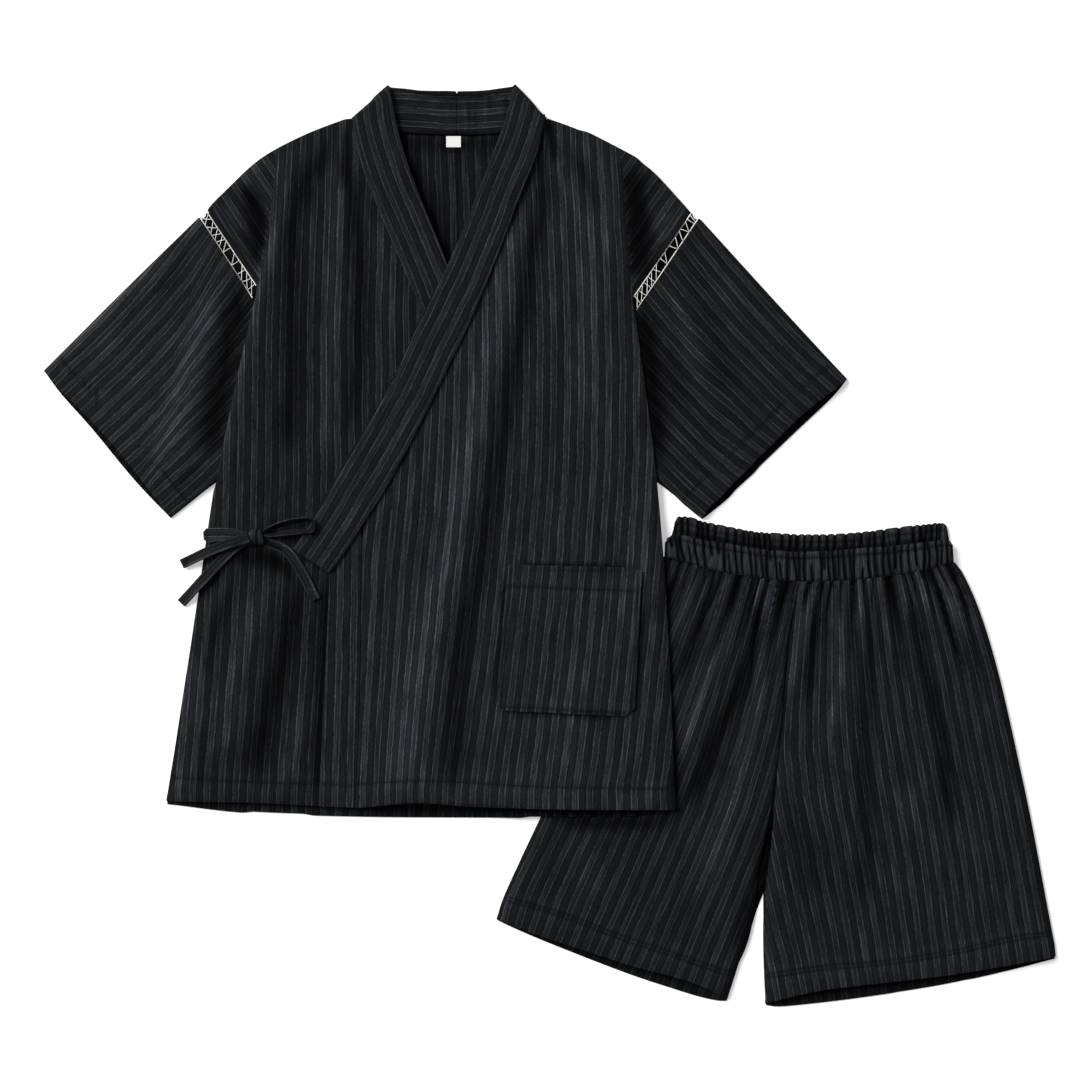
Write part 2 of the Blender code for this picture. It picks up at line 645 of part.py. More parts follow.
def collars():
    """Two halves, which meet behind the neck."""
    middle = at_share(smooth_curve(BACK_TOP, 4), 0.54)[0]
    top, seam = smooth_curve(BACK_TOP, 4), smooth_curve(NECK_BACK, 4) - (0, -1)
    half = SEAM / 2 + 0.1

    def from_middle(curve, side):
        start = [(middle + side * half, y_on(curve, middle))]
        beyond = curve[side * (curve[:, 0] - middle) > 3]
        return np.vstack([start, beyond[::side]])

    def over_level(share):
        settled = mix(COLLAR_OVER_Z, COLLAR_OVER_Z - 0.2, smoothstep((share - 0.8) / 0.2))
        return mix(COLLAR_UNDER_Z, settled, smoothstep(share / 0.2))

    def under_level(share):
        return COLLAR_UNDER_Z

    for name, inner, outer, side, level, rows in (
        ("collar_over", OVER_INNER, OVER_OUTER, 1, over_level, 22),
        ("collar_under", UNDER_INNER, UNDER_OUTER, -1, under_level, 16),
    ):
        back_seam = np.vstack([from_middle(seam, side)[:-1], outer[0]])
        collar_half(name, smooth_curve(inner, 6), smooth_curve(outer, 8),
                    pulled_in(from_middle(top, side)), pulled_in(back_seam), level, rows)


def pulled_in(curve):
    """The curve without its last stretch, where the fold begins."""
    return at_share(resample(curve, 2), np.linspace(0, 0.93, 12))


# ---------------------------------------------------------------- sleeves and openwork
def lace_frame(line, side):
    """place(along, inward) in an armhole's own directions, inward being towards the neck."""
    start, end = np.array(line[0], float), np.array(line[1], float)
    run = (end - start) / np.linalg.norm(end - start)
    inward = np.array([-run[1], run[0]]) * side

    def place(along, to_neck):
        return start + run * along + inward * to_neck

    return place, float(np.linalg.norm(end - start))


def sleeve(name, cut, line, side):
    """A flat tube: its front and back walls meet in a fold above and a seam below."""
    place, length = lace_frame(line, side)
    below = -(LACE_WIDTH + 3 * SEAM)
    hidden = list(cut.hidden)
    inner_front = [place(0, below), place(length * (1 - LACE_FLARE * below), below)] + hidden
    inner_back = [place(0, below), place(9, 0), place(16, SLEEVE_UNDER_LACE),
                  place(length, SLEEVE_UNDER_LACE)] + hidden
    cut = cut._replace(top=(tuple(inner_front[0]),) + cut.top[1:])
    rows, half = 11, 13
    share = (1 - np.cos(np.linspace(0, math.pi, half))) / 2
    down = np.linspace(0, 1, rows)
    top, bottom = smooth_curve(cut.top, 6), smooth_curve(cut.bottom, 6)[::-1]
    front = coons(resample(inner_front, 6), smooth_curve(cut.cuff_front, 6), top, bottom, share, down)
    back = coons(resample(inner_back, 6), smooth_curve(cut.cuff_back, 6), top, bottom, share, down)
    rings = []
    flat_z = CLOTH / 2
    fold_z = flat_z + 2.2
    for front_row, back_row in zip(front, back):
        edge = np.minimum(distance_to(front_row, front[:, 0]), distance_to(front_row, front[:, -1]))
        raised = mix(fold_z, SLEEVE_LOFT + CLOTH / 2, rounded(edge / SLEEVE_ROUND))
        over = np.column_stack([front_row, raised])
        under = np.column_stack([back_row, np.full(half, flat_z)])
        crease_top, crease_low = over[0].copy(), over[-1].copy()
        crease_top[2] = crease_low[2] = flat_z + 1.1
        for wall in (over, under):
            for at, beside in ((0, 1), (-1, -2)):
                inward = wall[beside, :2] - wall[at, :2]
                wall[at, :2] += inward / np.linalg.norm(inward) * 0.8
        rings.append(np.vstack([crease_top, over, crease_low, under[::-1]]))
    with_folds = np.array(rings)
    made = grid_object(name, with_folds, CLOTH_COLOUR, closed=True)
    return thicken(made, CLOTH, 0)


def lace_holes(length):
    """The gaps of the openwork: crossed pairs and single slants between two rails."""
    low, high = LACE_RAIL, LACE_WIDTH - LACE_RAIL
    middle = (low + high) / 2
    units = max(3, round((length - LACE_RAIL) / LACE_PITCH))
    step = (length - LACE_RAIL) / units
    bar = LACE_BAR * 0.75
    holes = []
    for unit in range(units):
        start, end = LACE_RAIL / 2 + unit * step, LACE_RAIL / 2 + (unit + 1) * step
        centre = (start + end) / 2
        if unit % 3 == 1:
            holes.append([(start + 2 * bar, high), (end - 2 * bar, high), (centre, middle + bar)])
            holes.append([(start + 2 * bar, low), (end - 2 * bar, low), (centre, middle - bar)])
        elif unit % 2:
            holes.append([(start + bar, high), (end - 2 * bar, high), (start + bar, low + 2 * bar)])
            holes.append([(end - bar, low), (start + 2 * bar, low), (end - bar, high - 2 * bar)])
        else:
            holes.append([(start + 2 * bar, high), (end - bar, high), (end - bar, low + 2 * bar)])
            holes.append([(start + bar, low), (end - 2 * bar, low), (start + bar, high - 2 * bar)])
    return holes


def lace(name, place, length, first, inner_edge, height):
    """An openwork strip in an armhole's directions, draped on a height."""
    outline = [(0, 0), (length, 0), (length, LACE_WIDTH), (0, LACE_WIDTH)]
    curve = bpy.data.curves.new(name, "CURVE")
    curve.dimensions = "2D"
    curve.fill_mode = "BOTH"
    curve.extrude = CLOTH / 2 * MM
    for loop in [outline] + lace_holes(length):
        spline = curve.splines.new("POLY")
        spline.points.add(len(loop) - 1)
        for point, (a, b) in zip(spline.points, loop):
            x, y = place(first + a * (1 + LACE_FLARE * b), inner_edge - b) * MM
            point.co = (x, y, 0, 1)
        spline.use_cyclic_u = True
    guide = bpy.data.objects.new(name + "_curve", curve)
    GARMENT.objects.link(guide)
    bpy.context.view_layer.update()
    mesh = bpy.data.meshes.new_from_object(guide.evaluated_get(bpy.context.evaluated_depsgraph_get()))
    bpy.data.objects.remove(guide)
    shape = bmesh.new()
    shape.from_mesh(mesh)
    bmesh.ops.remove_doubles(shape, verts=shape.verts, dist=0.0001)
    points = np.array([vertex.co for vertex in shape.verts]) / MM
    raised = height(points[:, 0], points[:, 1])
    for vertex, z in zip(shape.verts, raised):
        vertex.co.z += (z + CLOTH / 2) * MM
    bmesh.ops.triangulate(shape, faces=shape.faces)
    faces = [[vertex.index for vertex in face.verts] for face in shape.faces]
    points = np.array([vertex.co for vertex in shape.verts]) / MM
    shape.free()
    bpy.data.meshes.remove(mesh)
    return new_object(name, points, faces, LACE_COLOUR)


def laces():
    """Four strips: in front and behind, at each sleeve."""
    def cap_height(shoulder):
        def height(x, y):
            away = distance_to(np.stack([x, y], axis=1), shoulder)
            return CLOSED_EDGE + (SLEEVE_LOFT - CLOSED_EDGE) * rounded(away / SHOULDER_ROUND)
        return height

    def flat(x, y):
        return np.zeros_like(x)

    for side, line, sign, shoulder, top in (
        ("left", LACE_LEFT, 1, SHOULDER_LEFT_CURVE, SLEEVE_L.top),
        ("right", LACE_RIGHT, -1, SHOULDER_RIGHT_CURVE, SLEEVE_R.top),
    ):
        place, length = lace_frame(line, sign)
        crest = np.vstack([shoulder, np.array(top, float)])
        lace(f"lace_{side}_front", place, length - 2, 1, -SEAM, cap_height(crest))
        back_edge = SLEEVE_UNDER_LACE + LACE_WIDTH + SEAM
        lace(f"lace_{side}_back", place, length - 32, 18, back_edge, flat)


# ---------------------------------------------------------------- ties, pocket label
def tie_height(x, y):
    """What a tie lies on: the under front, then the floor past its side."""
    inward = x - x_on(LEFT_SIDE, y)
    on_front = above(under_height, np.maximum(x, x_on(LEFT_SIDE, y) + 1), y) + CLOTH + PATCH_GAP
    return np.where(inward > 0, on_front, mix(on_front, PATCH_GAP, smoothstep(-inward / 16)))


def tape_rows(path, step):
    """Centres, sideways directions and raised heights along a tape."""
    path = smooth_curve([(turn.x, turn.y, turn.raised) for turn in path], step)
    run = np.gradient(path[:, :2], axis=0)
    run /= np.linalg.norm(run, axis=1)[:, None]
    return path, np.stack([-run[:, 1], run[:, 0]], axis=1)


def tape_grid(path, step=7.0):
    centre, sideways = tape_rows(path, step)
    columns = []
    for across in (-0.5, 0, 0.5):
        flat = centre[:, :2] + sideways * across * TAPE_WIDTH
        rest = tie_height(flat[:, 0], flat[:, 1])
        columns.append(np.column_stack([flat, rest + centre[:, 2] + TAPE / 2]))
    return np.stack(columns, axis=1)


def ties():
    """The bow: a knot, two loops, two tails and the strand from the side seam."""
    for name, path in TIE_PATHS.items():
        thicken(grid_object(name, tape_grid(path), COLLAR_COLOUR), TAPE, 0)
    for name, (out, back) in LOOP_PATHS.items():
        lower, upper = tape_grid(out), tape_grid(back)[::-1]
        tip = (lower[-1] + upper[0]) / 2
        outward = lower[-1] - lower[-2]
        outward /= np.linalg.norm(outward, axis=1)[:, None]
        grid = np.concatenate([lower, [tip + outward * 1.4], upper])
        thicken(grid_object(name, grid, COLLAR_COLOUR), TAPE, 0)
    x, y = np.array([KNOT_AT[0]], float), np.array([KNOT_AT[1]], float)
    rest = float(above(under_height, x, y, 8.0)[0]) + CLOTH + PATCH_GAP
    bpy.ops.mesh.primitive_cube_add(size=1)
    knot = bpy.context.object
    knot.name = "tie_knot"
    knot.data.name = "tie_knot"
    for vertex in knot.data.vertices:
        narrow = 0.8 if vertex.co.z > 0 else 1.0
        vertex.co.x *= KNOT_SIZE[0] * MM * narrow
        vertex.co.y *= KNOT_SIZE[1] * MM * narrow
        vertex.co.z *= KNOT_SIZE[2] * MM
    knot.location = (KNOT_AT[0] * MM, KNOT_AT[1] * MM, (rest + KNOT_SIZE[2] / 2) * MM)
    round_off(knot, 2.2)
    adopt(knot, COLLAR_COLOUR)


def round_off(made, width):
    bevel = made.modifiers.new("Rounding", "BEVEL")
    bevel.width = width * MM
    bevel.segments = 2


def adopt(made, colour):
    """Gives a primitive its material and moves it to the garment's collection."""
    made.data.materials.append(cloth_material(made.name, colour))
    for collection in list(made.users_collection):
        collection.objects.unlink(made)
    GARMENT.objects.link(made)


def label():
    """A blank woven label under the back of the collar."""
    bpy.ops.mesh.primitive_cube_add(size=1)
    made = bpy.context.object
    made.name = "label"
    made.data.name = "label"
    for vertex in made.data.vertices:
        for axis in range(3):
            vertex.co[axis] *= LABEL_SIZE[axis] * MM
    made.location = (LABEL_AT[0] * MM, LABEL_AT[1] * MM, (CLOSED_EDGE + LABEL_SIZE[2] / 2) * MM)
    adopt(made, LABEL_COLOUR)


# ---------------------------------------------------------------- shorts
def leg_height(x, y, inward, outward, pleat, clear):
    """The middle of a front leg's cloth: its closed edges, its loft and its pleats."""
    loft = mix(SHORTS_HIDDEN, SHORTS_LOFT, clear)
    low = CLOSED_EDGE + CLOTH / 2
    height = loft + CLOTH / 2 + pleat * clear
    return low + (height - low) * rounded(inward / LEG_ROUND) * rounded(outward / LEG_ROUND)


def shorts_front(name, outer, inner, hem, top, mirrored):
    """A front leg: pleats fan down from the band and fade."""
    across = np.linspace(0, 1, 4 * PLEATS_A_LEG + 1)
    down = np.array([0, 0.045, 0.12, 0.21, 0.34, 0.5, 0.62, 0.7, 0.78, 0.88, 1])
    outer, inner = smooth_curve(outer, 6), smooth_curve(inner, 6)
    if mirrored:
        flat = coons(top, smooth_curve(hem, 6), inner, outer, across, down)
        to_inner = across
    else:
        flat = coons(top, smooth_curve(hem, 6), outer, inner, across, down)
        to_inner = 1 - across
    grid = []
    inner_leg = inner[inner[:, 1] < CROTCH_Y]
    for row in flat:
        x, y = row.T
        drop = np.clip(-y - 30, 0, None)
        wave = 0.5 - 0.5 * np.cos(2 * math.pi * PLEATS_A_LEG * to_inner)
        pleat = PLEAT_RISE * wave * (1 - smoothstep(drop / PLEAT_FADE)) * smoothstep(to_inner * 18)
        from_outer = distance_to(row, outer)
        soft = smoothstep((CROTCH_Y - y) / 40)
        from_inner = mix(LEG_ROUND, distance_to(row, inner_leg), soft)
        clear = smoothstep((x - x_on(RIGHT_SIDE, np.maximum(y, -280)) - 8) / 32)
        clear = np.maximum(clear, smoothstep((-300 - y) / 50))
        grid.append(np.column_stack([row, leg_height(x, y, from_inner, from_outer, pleat, clear)]))
    made = grid_object(name, np.array(grid), SHORTS_COLOUR)
    face_up(made)
    return thicken(made, CLOTH, 0)


def shorts_back(name, outer, inner, hem, top, mirrored):
    """A back leg, flat on the floor and longer than the front at the hem."""
    outer, inner = smooth_curve(outer, EDGE_STEP), smooth_curve(inner, EDGE_STEP)
    hem = smooth_curve(hem, EDGE_STEP)
    top = resample(top, EDGE_STEP)
    if mirrored:
        outline = join_lines(top, outer, hem[::-1], inner[::-1])
    else:
        outline = join_lines(top, inner, hem[::-1], outer[::-1])

    def height(x, y):
        return np.zeros_like(x)

    return panel(name, outline, height, SHORTS_COLOUR, spacing=BACK_SPACING)


def shorts():
    """Two fronts and two backs, joined at the middle and along the legs."""
    seam = smooth_curve(BAND_SEAM, 4) - (0, SEAM)
    middle = np.array([RISE_SEAM_TOP, y_on(seam, RISE_SEAM_TOP) - 0.1])
    half = np.array([RISE_GAP / 2, 0])
    left_top = np.vstack([seam[seam[:, 0] < RISE_SEAM_TOP - 2], [middle - half]])
    right_top = np.vstack([[middle + half], seam[seam[:, 0] > RISE_SEAM_TOP + 2]])
    left_outer = np.vstack([left_top[:1], OUTER_LEFT[1:]])
    right_outer = np.vstack([right_top[-1:], OUTER_RIGHT[1:]])
    for build, part, legs, hems in (
        (shorts_front, "front", (FRONT_LEG_LEFT, FRONT_LEG_RIGHT), (FRONT_HEM_LEFT, FRONT_HEM_RIGHT)),
        (shorts_back, "back", (BACK_LEG_LEFT, BACK_LEG_RIGHT), (BACK_HEM_LEFT, BACK_HEM_RIGHT)),
    ):
        left_inner = np.vstack([[middle], RISE_SEAM[1:], legs[0]]) - half
        right_inner = np.vstack([[middle], RISE_SEAM[1:], legs[1]]) + half
        left_hem = np.vstack([hems[0][:-1], left_inner[-1:]])
        right_hem = np.vstack([right_inner[-1:], hems[1][1:]])
        left_outer[-1], right_outer[-1] = left_hem[0], right_hem[-1]
        build(f"shorts_{part}_left", left_outer, left_inner, left_hem, left_top, False)
        build(f"shorts_{part}_right", right_outer, right_inner, right_hem, right_top, True)


def waistband(name, top, waves, under, core, points_a_wave, end_drop, rows):
    """A gathered band: plain inside, with a wave for each gather outside."""
    seam = smooth_curve(BAND_SEAM, 4)
    top = smooth_curve(top, 4)
    columns = waves * points_a_wave + 1
    rings = []
    for at in range(columns):
        share = at / (columns - 1)
        low, high = at_share(seam, share), at_share(top, share)
        crest = (0.0, 1.0, 0.8)[at % points_a_wave] if points_a_wave == 3 else (0.0, 1.0)[at % 2]
        high = high + (0, BAND_SCALLOP * (crest - 1))
        end = rounded(min(share, 1 - share) / 0.05)
        base = under - end_drop * (1 - end)
        ring = [(*low, base), (*high, base)]
        for row in np.linspace(1, 0, rows):
            place = mix(low, high, row)
            swell = 1 - abs(2 * row - 1) ** 3 * 0.55
            wave = BAND_WAVE * crest * swell * (0.4 + 0.6 * end)
            ring.append((*place, base + core * (0.75 + 0.25 * swell) + wave))
        rings.append(ring)
    return capped_loft(name, np.array(rings), SHORTS_COLOUR)


def waistbands():
    waistband("waistband_front", BAND_TOP_FRONT, BAND_WAVES, BAND_FRONT_UNDER, BAND_CORE, 3, 3.4, 4)
    waistband("waistband_back", BAND_TOP_BACK, BACK_BAND_WAVES, 0.0, BAND_BACK_CORE, 2, 0.0, 3)


# ---------------------------------------------------------------- assembly
for old in list(bpy.data.objects):
    bpy.data.objects.remove(old)
GARMENT = bpy.data.collections.new("Jinbei set")
bpy.context.scene.collection.children.link(GARMENT)

jacket_back()
front_under()
front_over()
okumi_over()
collars()
pocket()
label()
sleeve("sleeve_left", SLEEVE_L, LACE_LEFT, 1)
sleeve("sleeve_right", SLEEVE_R, LACE_RIGHT, -1)
laces()
ties()
shorts()
waistbands()
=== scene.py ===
import math
from collections import namedtuple

import bmesh
import bpy
import numpy as np
from mathutils.bvhtree import BVHTree
from mathutils.geometry import delaunay_2d_cdt
from mathutils.kdtree import KDTree
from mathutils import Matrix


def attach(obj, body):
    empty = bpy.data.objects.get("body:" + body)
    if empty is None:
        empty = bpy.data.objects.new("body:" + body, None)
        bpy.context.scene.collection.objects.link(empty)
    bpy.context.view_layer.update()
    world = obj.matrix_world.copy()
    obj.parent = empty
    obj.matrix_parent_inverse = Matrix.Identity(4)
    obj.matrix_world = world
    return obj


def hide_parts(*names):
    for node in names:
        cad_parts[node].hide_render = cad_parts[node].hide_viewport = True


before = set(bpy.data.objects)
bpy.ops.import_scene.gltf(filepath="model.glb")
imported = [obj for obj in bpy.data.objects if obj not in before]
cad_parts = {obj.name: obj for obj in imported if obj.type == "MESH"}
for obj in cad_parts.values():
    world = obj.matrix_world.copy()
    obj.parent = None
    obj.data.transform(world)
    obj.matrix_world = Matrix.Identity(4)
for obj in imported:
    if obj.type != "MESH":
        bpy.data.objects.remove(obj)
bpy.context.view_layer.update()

# A jinbei set laid flat: x runs to the right, y from the hems to the collar, z up from the floor.
# Tables are in millimetres, and mm turns them into Blender's metres.
mm = 0.001
stripePitch = 14.4          # one repeat of the woven stripe
clothWall = 1.4
floorGap = 0.02             # what cloth that lies on the floor keeps clear of it
rimRounding = 0.42          # how far a panel's cut edge is rounded
skinLimit = 55              # in degrees: a panel's outer face ends where its solid turns by more
seamSpacing = 3.2           # between the points of a mesh along a seam or a gather
toneSpread = 1.06           # tones are drawn this much wider than their widths say
rimClear = 2.2              # how far lines of points inside a panel stay from its cut edge
seamReach = 1.8             # rows of points lie this far to both sides of a seam
gatherReach = 1.3           # and of a gather, in its own widths
allowanceLevels = ((1.5, 0.03), (1.9, 0.022))       # how far its faces lie under the top, and their lowest

# a soft ridge, or a trough where the height is below 0
Crease = namedtuple("Crease", "start middle end width height")
# painted shading along a path: a painted highlight where the amount is above 0, painted shade in a hollow
# where it is below 0
PaintedShading = namedtuple("PaintedShading", "path widths amount")
Tuck = namedtuple("Tuck", "line side drop reach")               # cloth dives beside a line
Seam = namedtuple("Seam", "line depth width")                   # the dent that a row of stitches pulls in
Gather = namedtuple("Gather", "path depth width shade")         # a narrow trough from a gathered seam
Ripple = namedtuple("Ripple", "length lean height phase")       # a long low wave over all of a piece
Ease = namedtuple("Ease", "path x y reach")                     # where cloth lies wider than its solid
Noise = namedtuple("Noise", "across along detail low high roughness")


# Curves
def distancesOn(line):
    return np.concatenate([[0], np.cumsum(np.linalg.norm(np.diff(line, axis=0), axis=1))])


def lengthOf(line):
    return np.linalg.norm(np.diff(line, axis=0), axis=1).sum()


def placesOn(line, along):
    distances = distancesOn(line)
    return np.stack([np.interp(along, distances, column) for column in line.T], axis=1)


def resample(points, step):
    points = np.asarray(points, float)
    length = distancesOn(points)[-1]
    return placesOn(points, np.linspace(0, length, max(2, round(length / step) + 1)))


def smoothLine(points, step):
    points = np.asarray(points, float)
    padded = np.vstack([2 * points[0] - points[1], points, 2 * points[-1] - points[-2]])
    pieces = []
    for before, start, end, after in zip(padded, padded[1:], padded[2:], padded[3:]):
        t = np.linspace(0, 1, 13)[:-1, None]
        bend = 2 * before - 5 * start + 4 * end - after
        pieces.append(0.5 * (2 * start + (end - before) * t + bend * t**2
                             + (3 * start - before - 3 * end + after) * t**3))
    return resample(np.vstack(pieces + [points[-1:]]), step)


def nearestOn(points, line):
    # distance to a line, length along it, and on which side of it (above 0 is left of its direction)
    start, run = line[:-1], np.diff(line, axis=0)
    lengths = np.linalg.norm(run, axis=1)
    before = np.concatenate([[0], np.cumsum(lengths)[:-1]])
    best = np.full(len(points), 1e9)
    along, side = np.zeros(len(points)), np.zeros(len(points))
    for origin, step, length, reached in zip(start, run, lengths, before):
        offset = points - origin
        share = np.clip(offset @ step / max(length**2, 1e-9), 0, 1)
        away = np.linalg.norm(offset - share[:, None] * step, axis=1)
        nearer = away < best
        best = np.where(nearer, away, best)
        along = np.where(nearer, reached + share * length, along)
        side = np.where(nearer, np.sign(step[0] * offset[:, 1] - step[1] * offset[:, 0]), side)
    return best, along, side


def smoothstep(t):
    t = np.clip(t, 0, 1)
    return t * t * (3 - 2 * t)


def bell(away, width):
    return np.exp(-((away / width) ** 2))


def closed(outline):
    return np.vstack([outline, outline[:1]])


def xOn(curve, y):
    order = np.argsort(curve[:, 1])
    return np.interp(y, curve[order, 1], curve[order, 0])


def sideways(line, shift):
    run = np.gradient(line, axis=0)
    run /= np.linalg.norm(run, axis=1)[:, None]
    return line + shift * np.stack([-run[:, 1], run[:, 0]], axis=1)


# The forms that a hand leaves in laid cloth
ripples = (
    Ripple(128, 8, 0.34, 0.4), Ripple(87, -6, 0.26, 2.1), Ripple(61, 14, 0.17, 4.0),
    Ripple(44, -13, 0.11, 1.2), Ripple(173, 66, 0.22, 3.1), Ripple(96, 81, 0.10, 5.2),
)


def rippled(flat):
    x, y = flat.T
    total = np.zeros(len(x))
    across = x + 9 * np.sin(y / 71) + 5 * np.sin(y / 33 + 1)
    for ripple in ripples:
        lean = math.radians(ripple.lean)
        phase = (across * math.cos(lean) + y * math.sin(lean)) * 2 * math.pi / ripple.length
        total += ripple.height * np.sin(phase + ripple.phase)
    return total


def brushed(flat, path, widths, taper, least, step=6):
    # how much of a soft stroke along a path reaches each point: it fades in from its ends over the taper,
    # a length or a share of the path's own, whichever is less
    spine = smoothLine(path, step)
    away, along, _ = nearestOn(flat, spine)
    length = lengthOf(spine)
    fade = smoothstep(np.minimum(along, length - along) / min(taper[0], taper[1] * length) + least)
    return fade * bell(away, np.interp(along, (0, length), widths))


def creased(creases, flat):
    total = np.zeros(len(flat))
    for crease in creases:
        widths = (crease.width, crease.width)
        total += crease.height * brushed(flat, crease[:3], widths, (np.inf, 0.3), 0.15, 10)
    return total


def paintedShadingAt(tones, flat):
    # the painted shading that the tones lay on each point
    total = np.zeros(len(flat))
    for tone in tones:
        widths = toneSpread * np.array(tone.widths)
        total += tone.amount * brushed(flat, tone.path, widths, (45, 0.35), 0.1)
    return total


def oneSided(look, flat):
    # painted shading that stops at a line, on one side of it
    total = np.zeros(len(flat))
    for line, side, tones in look.get("sided", ()):
        away, _, which = nearestOn(flat, smoothLine(line, 6))
        total += paintedShadingAt(tones, flat) * smoothstep(0.5 + 0.5 * away * which * side / 1.5)
    return total


def gathered(gathers, flat):
    # how far the troughs pull the cloth down, the painted shade that they hold, and a painted highlight on
    # the cloth beside each
    rise, shade = np.zeros(len(flat)), np.zeros(len(flat))
    for gather in gathers:
        away, along, _ = nearestOn(flat, gather.path)
        share = along / lengthOf(gather.path)
        left = smoothstep(1.04 - share)
        width = gather.width * (1.15 - 0.5 * share)
        rise -= gather.depth * left * bell(away, width)
        shade -= gather.shade * left**0.8 * bell(away, 0.9 * width)
        shade += 0.3 * gather.shade * left**1.5 * bell(away - 2.3 * gather.width, gather.width)
    return rise, shade


def dented(look, flat):
    total = np.zeros(len(flat))
    for seam in look.get("seams", ()):
        total -= seam.depth * bell(nearestOn(flat, resample(seam.line, 4))[0], seam.width)
    for tuck in look.get("tucks", ()):
        away, _, side = nearestOn(flat, smoothLine(tuck.line, 8))
        total -= np.where(side * tuck.side > 0, tuck.drop * np.exp(-away / tuck.reach), 0)
    return total


def eased(points, eases):
    for ease in eases:
        share = brushed(points[:, :2], ease.path, (ease.reach, ease.reach), (14, np.inf), 0.1)
        points[:, :2] += share[:, None] * np.array((ease.x, ease.y))
    return points


# Meshes
def valuesOf(items, name, width=1, kind=np.float32):
    found = np.empty(len(items) * width, kind)
    items.foreach_get(name, found)
    return found.reshape(-1, width) if width > 1 else found


def pointsOf(mesh):
    return valuesOf(mesh.vertices, "co", 3).astype(float) / mm


def movePoints(mesh, points):
    mesh.vertices.foreach_set("co", (points * mm).astype(np.float32).ravel())
    mesh.update()


def meshOf(shape, name):
    mesh = bpy.data.meshes.new(name)
    shape.to_mesh(mesh)
    shape.free()
    return mesh


def plainMesh(name, points, faces, edges=()):
    mesh = bpy.data.meshes.new(name)
    mesh.from_pydata((np.asarray(points, float) * mm).tolist(), edges, faces)
    mesh.update()
    return mesh


def linkedObject(name, mesh):
    made = bpy.data.objects.new(name, mesh)
    bpy.context.scene.collection.objects.link(made)
    return made


def finished(made):
    # the object with its modifiers applied
    graph = bpy.context.evaluated_depsgraph_get()
    result = bpy.data.meshes.new_from_object(made.evaluated_get(graph))
    made.modifiers.clear()
    old, made.data = made.data, result
    bpy.data.meshes.remove(old)
    made.data.name = made.name
    return made


def subdivided(name, shape, levels):
    # a smooth finer object of a shape, which keeps its creased edges and corners
    made = linkedObject(name, meshOf(shape, name))
    finer = made.modifiers.new("Finer", "SUBSURF")
    finer.levels = finer.render_levels = levels
    finer.boundary_smooth = "PRESERVE_CORNERS"
    return finished(made)


def loftedRings(shape, rings):
    # faces from each ring to the next, and over both ends
    for ring, following in zip(rings, rings[1:]):
        for at in range(len(ring)):
            ahead = (at + 1) % len(ring)
            shape.faces.new((ring[at], ring[ahead], following[ahead], following[at]))
    shape.faces.new(rings[0][::-1])
    shape.faces.new(rings[-1])


def weldedShape(node):
    shape = bmesh.new()
    shape.from_mesh(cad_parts[node].data)
    bmesh.ops.remove_doubles(shape, verts=shape.verts, dist=1e-6)
    shape.normal_update()
    return shape


def longestRim(mesh):
    # the longest open edge of a mesh, as the numbers of its points in order
    shape = bmesh.new()
    shape.from_mesh(mesh)
    links = {}
    for edge in shape.edges:
        if edge.is_boundary:
            a, b = (vertex.index for vertex in edge.verts)
            links.setdefault(a, []).append(b)
            links.setdefault(b, []).append(a)
    shape.free()
    rims = []
    while links:
        rim = [next(iter(links))]
        while True:
            ahead = [at for at in links.get(rim[-1], ()) if at in links and at not in rim[-2:]]
            if not ahead or len(rim) > 2 and rim[0] in links.get(rim[-1], ()):
                break
            rim.append(ahead[0])
            if len(rim) > 2:
                links.pop(rim[-2], None)
        for at in rim:
            links.pop(at, None)
        rims.append(rim)
    return max(rims, key=len)


def outerSkin(node, pleated):
    # a node's outer face alone, smoothed: its points, its triangles and its rim
    shape = weldedShape(node)
    limit = math.radians(skinLimit)
    first = max(shape.faces, key=lambda face: face.normal.z * face.calc_area())
    found, front = {first}, [first]
    while front:
        for edge in front.pop().edges:
            for other in edge.link_faces:
                upward = pleated and other.normal.z > 0.12
                if other not in found and (upward or not pleated and edge.calc_face_angle(math.pi) < limit):
                    found.add(other)
                    front.append(other)
    rest = [face for face in shape.faces if face not in found]
    bmesh.ops.delete(shape, geom=rest, context="FACES")
    corner = shape.verts.layers.float.new("crease_vert")
    for vertex in shape.verts:
        rim = [edge.other_vert(vertex).co - vertex.co for edge in vertex.link_edges if edge.is_boundary]
        if len(rim) == 2 and rim[0].angle(-rim[1], 0) > 0.5:
            vertex[corner] = 1
    skin = subdivided("skin", shape, 2)
    mesh = skin.data
    mesh.calc_loop_triangles()
    triangles = [tuple(triangle.vertices) for triangle in mesh.loop_triangles]
    points = pointsOf(mesh)
    rim = points[longestRim(mesh)]
    bpy.data.objects.remove(skin)
    bpy.data.meshes.remove(mesh)
    return points, triangles, rim


def topOf(mesh):
    # the points and the upward triangles of a mesh
    mesh.calc_loop_triangles()
    triangles = [tuple(triangle.vertices) for triangle in mesh.loop_triangles if triangle.normal.z > 0.3]
    return pointsOf(mesh), triangles


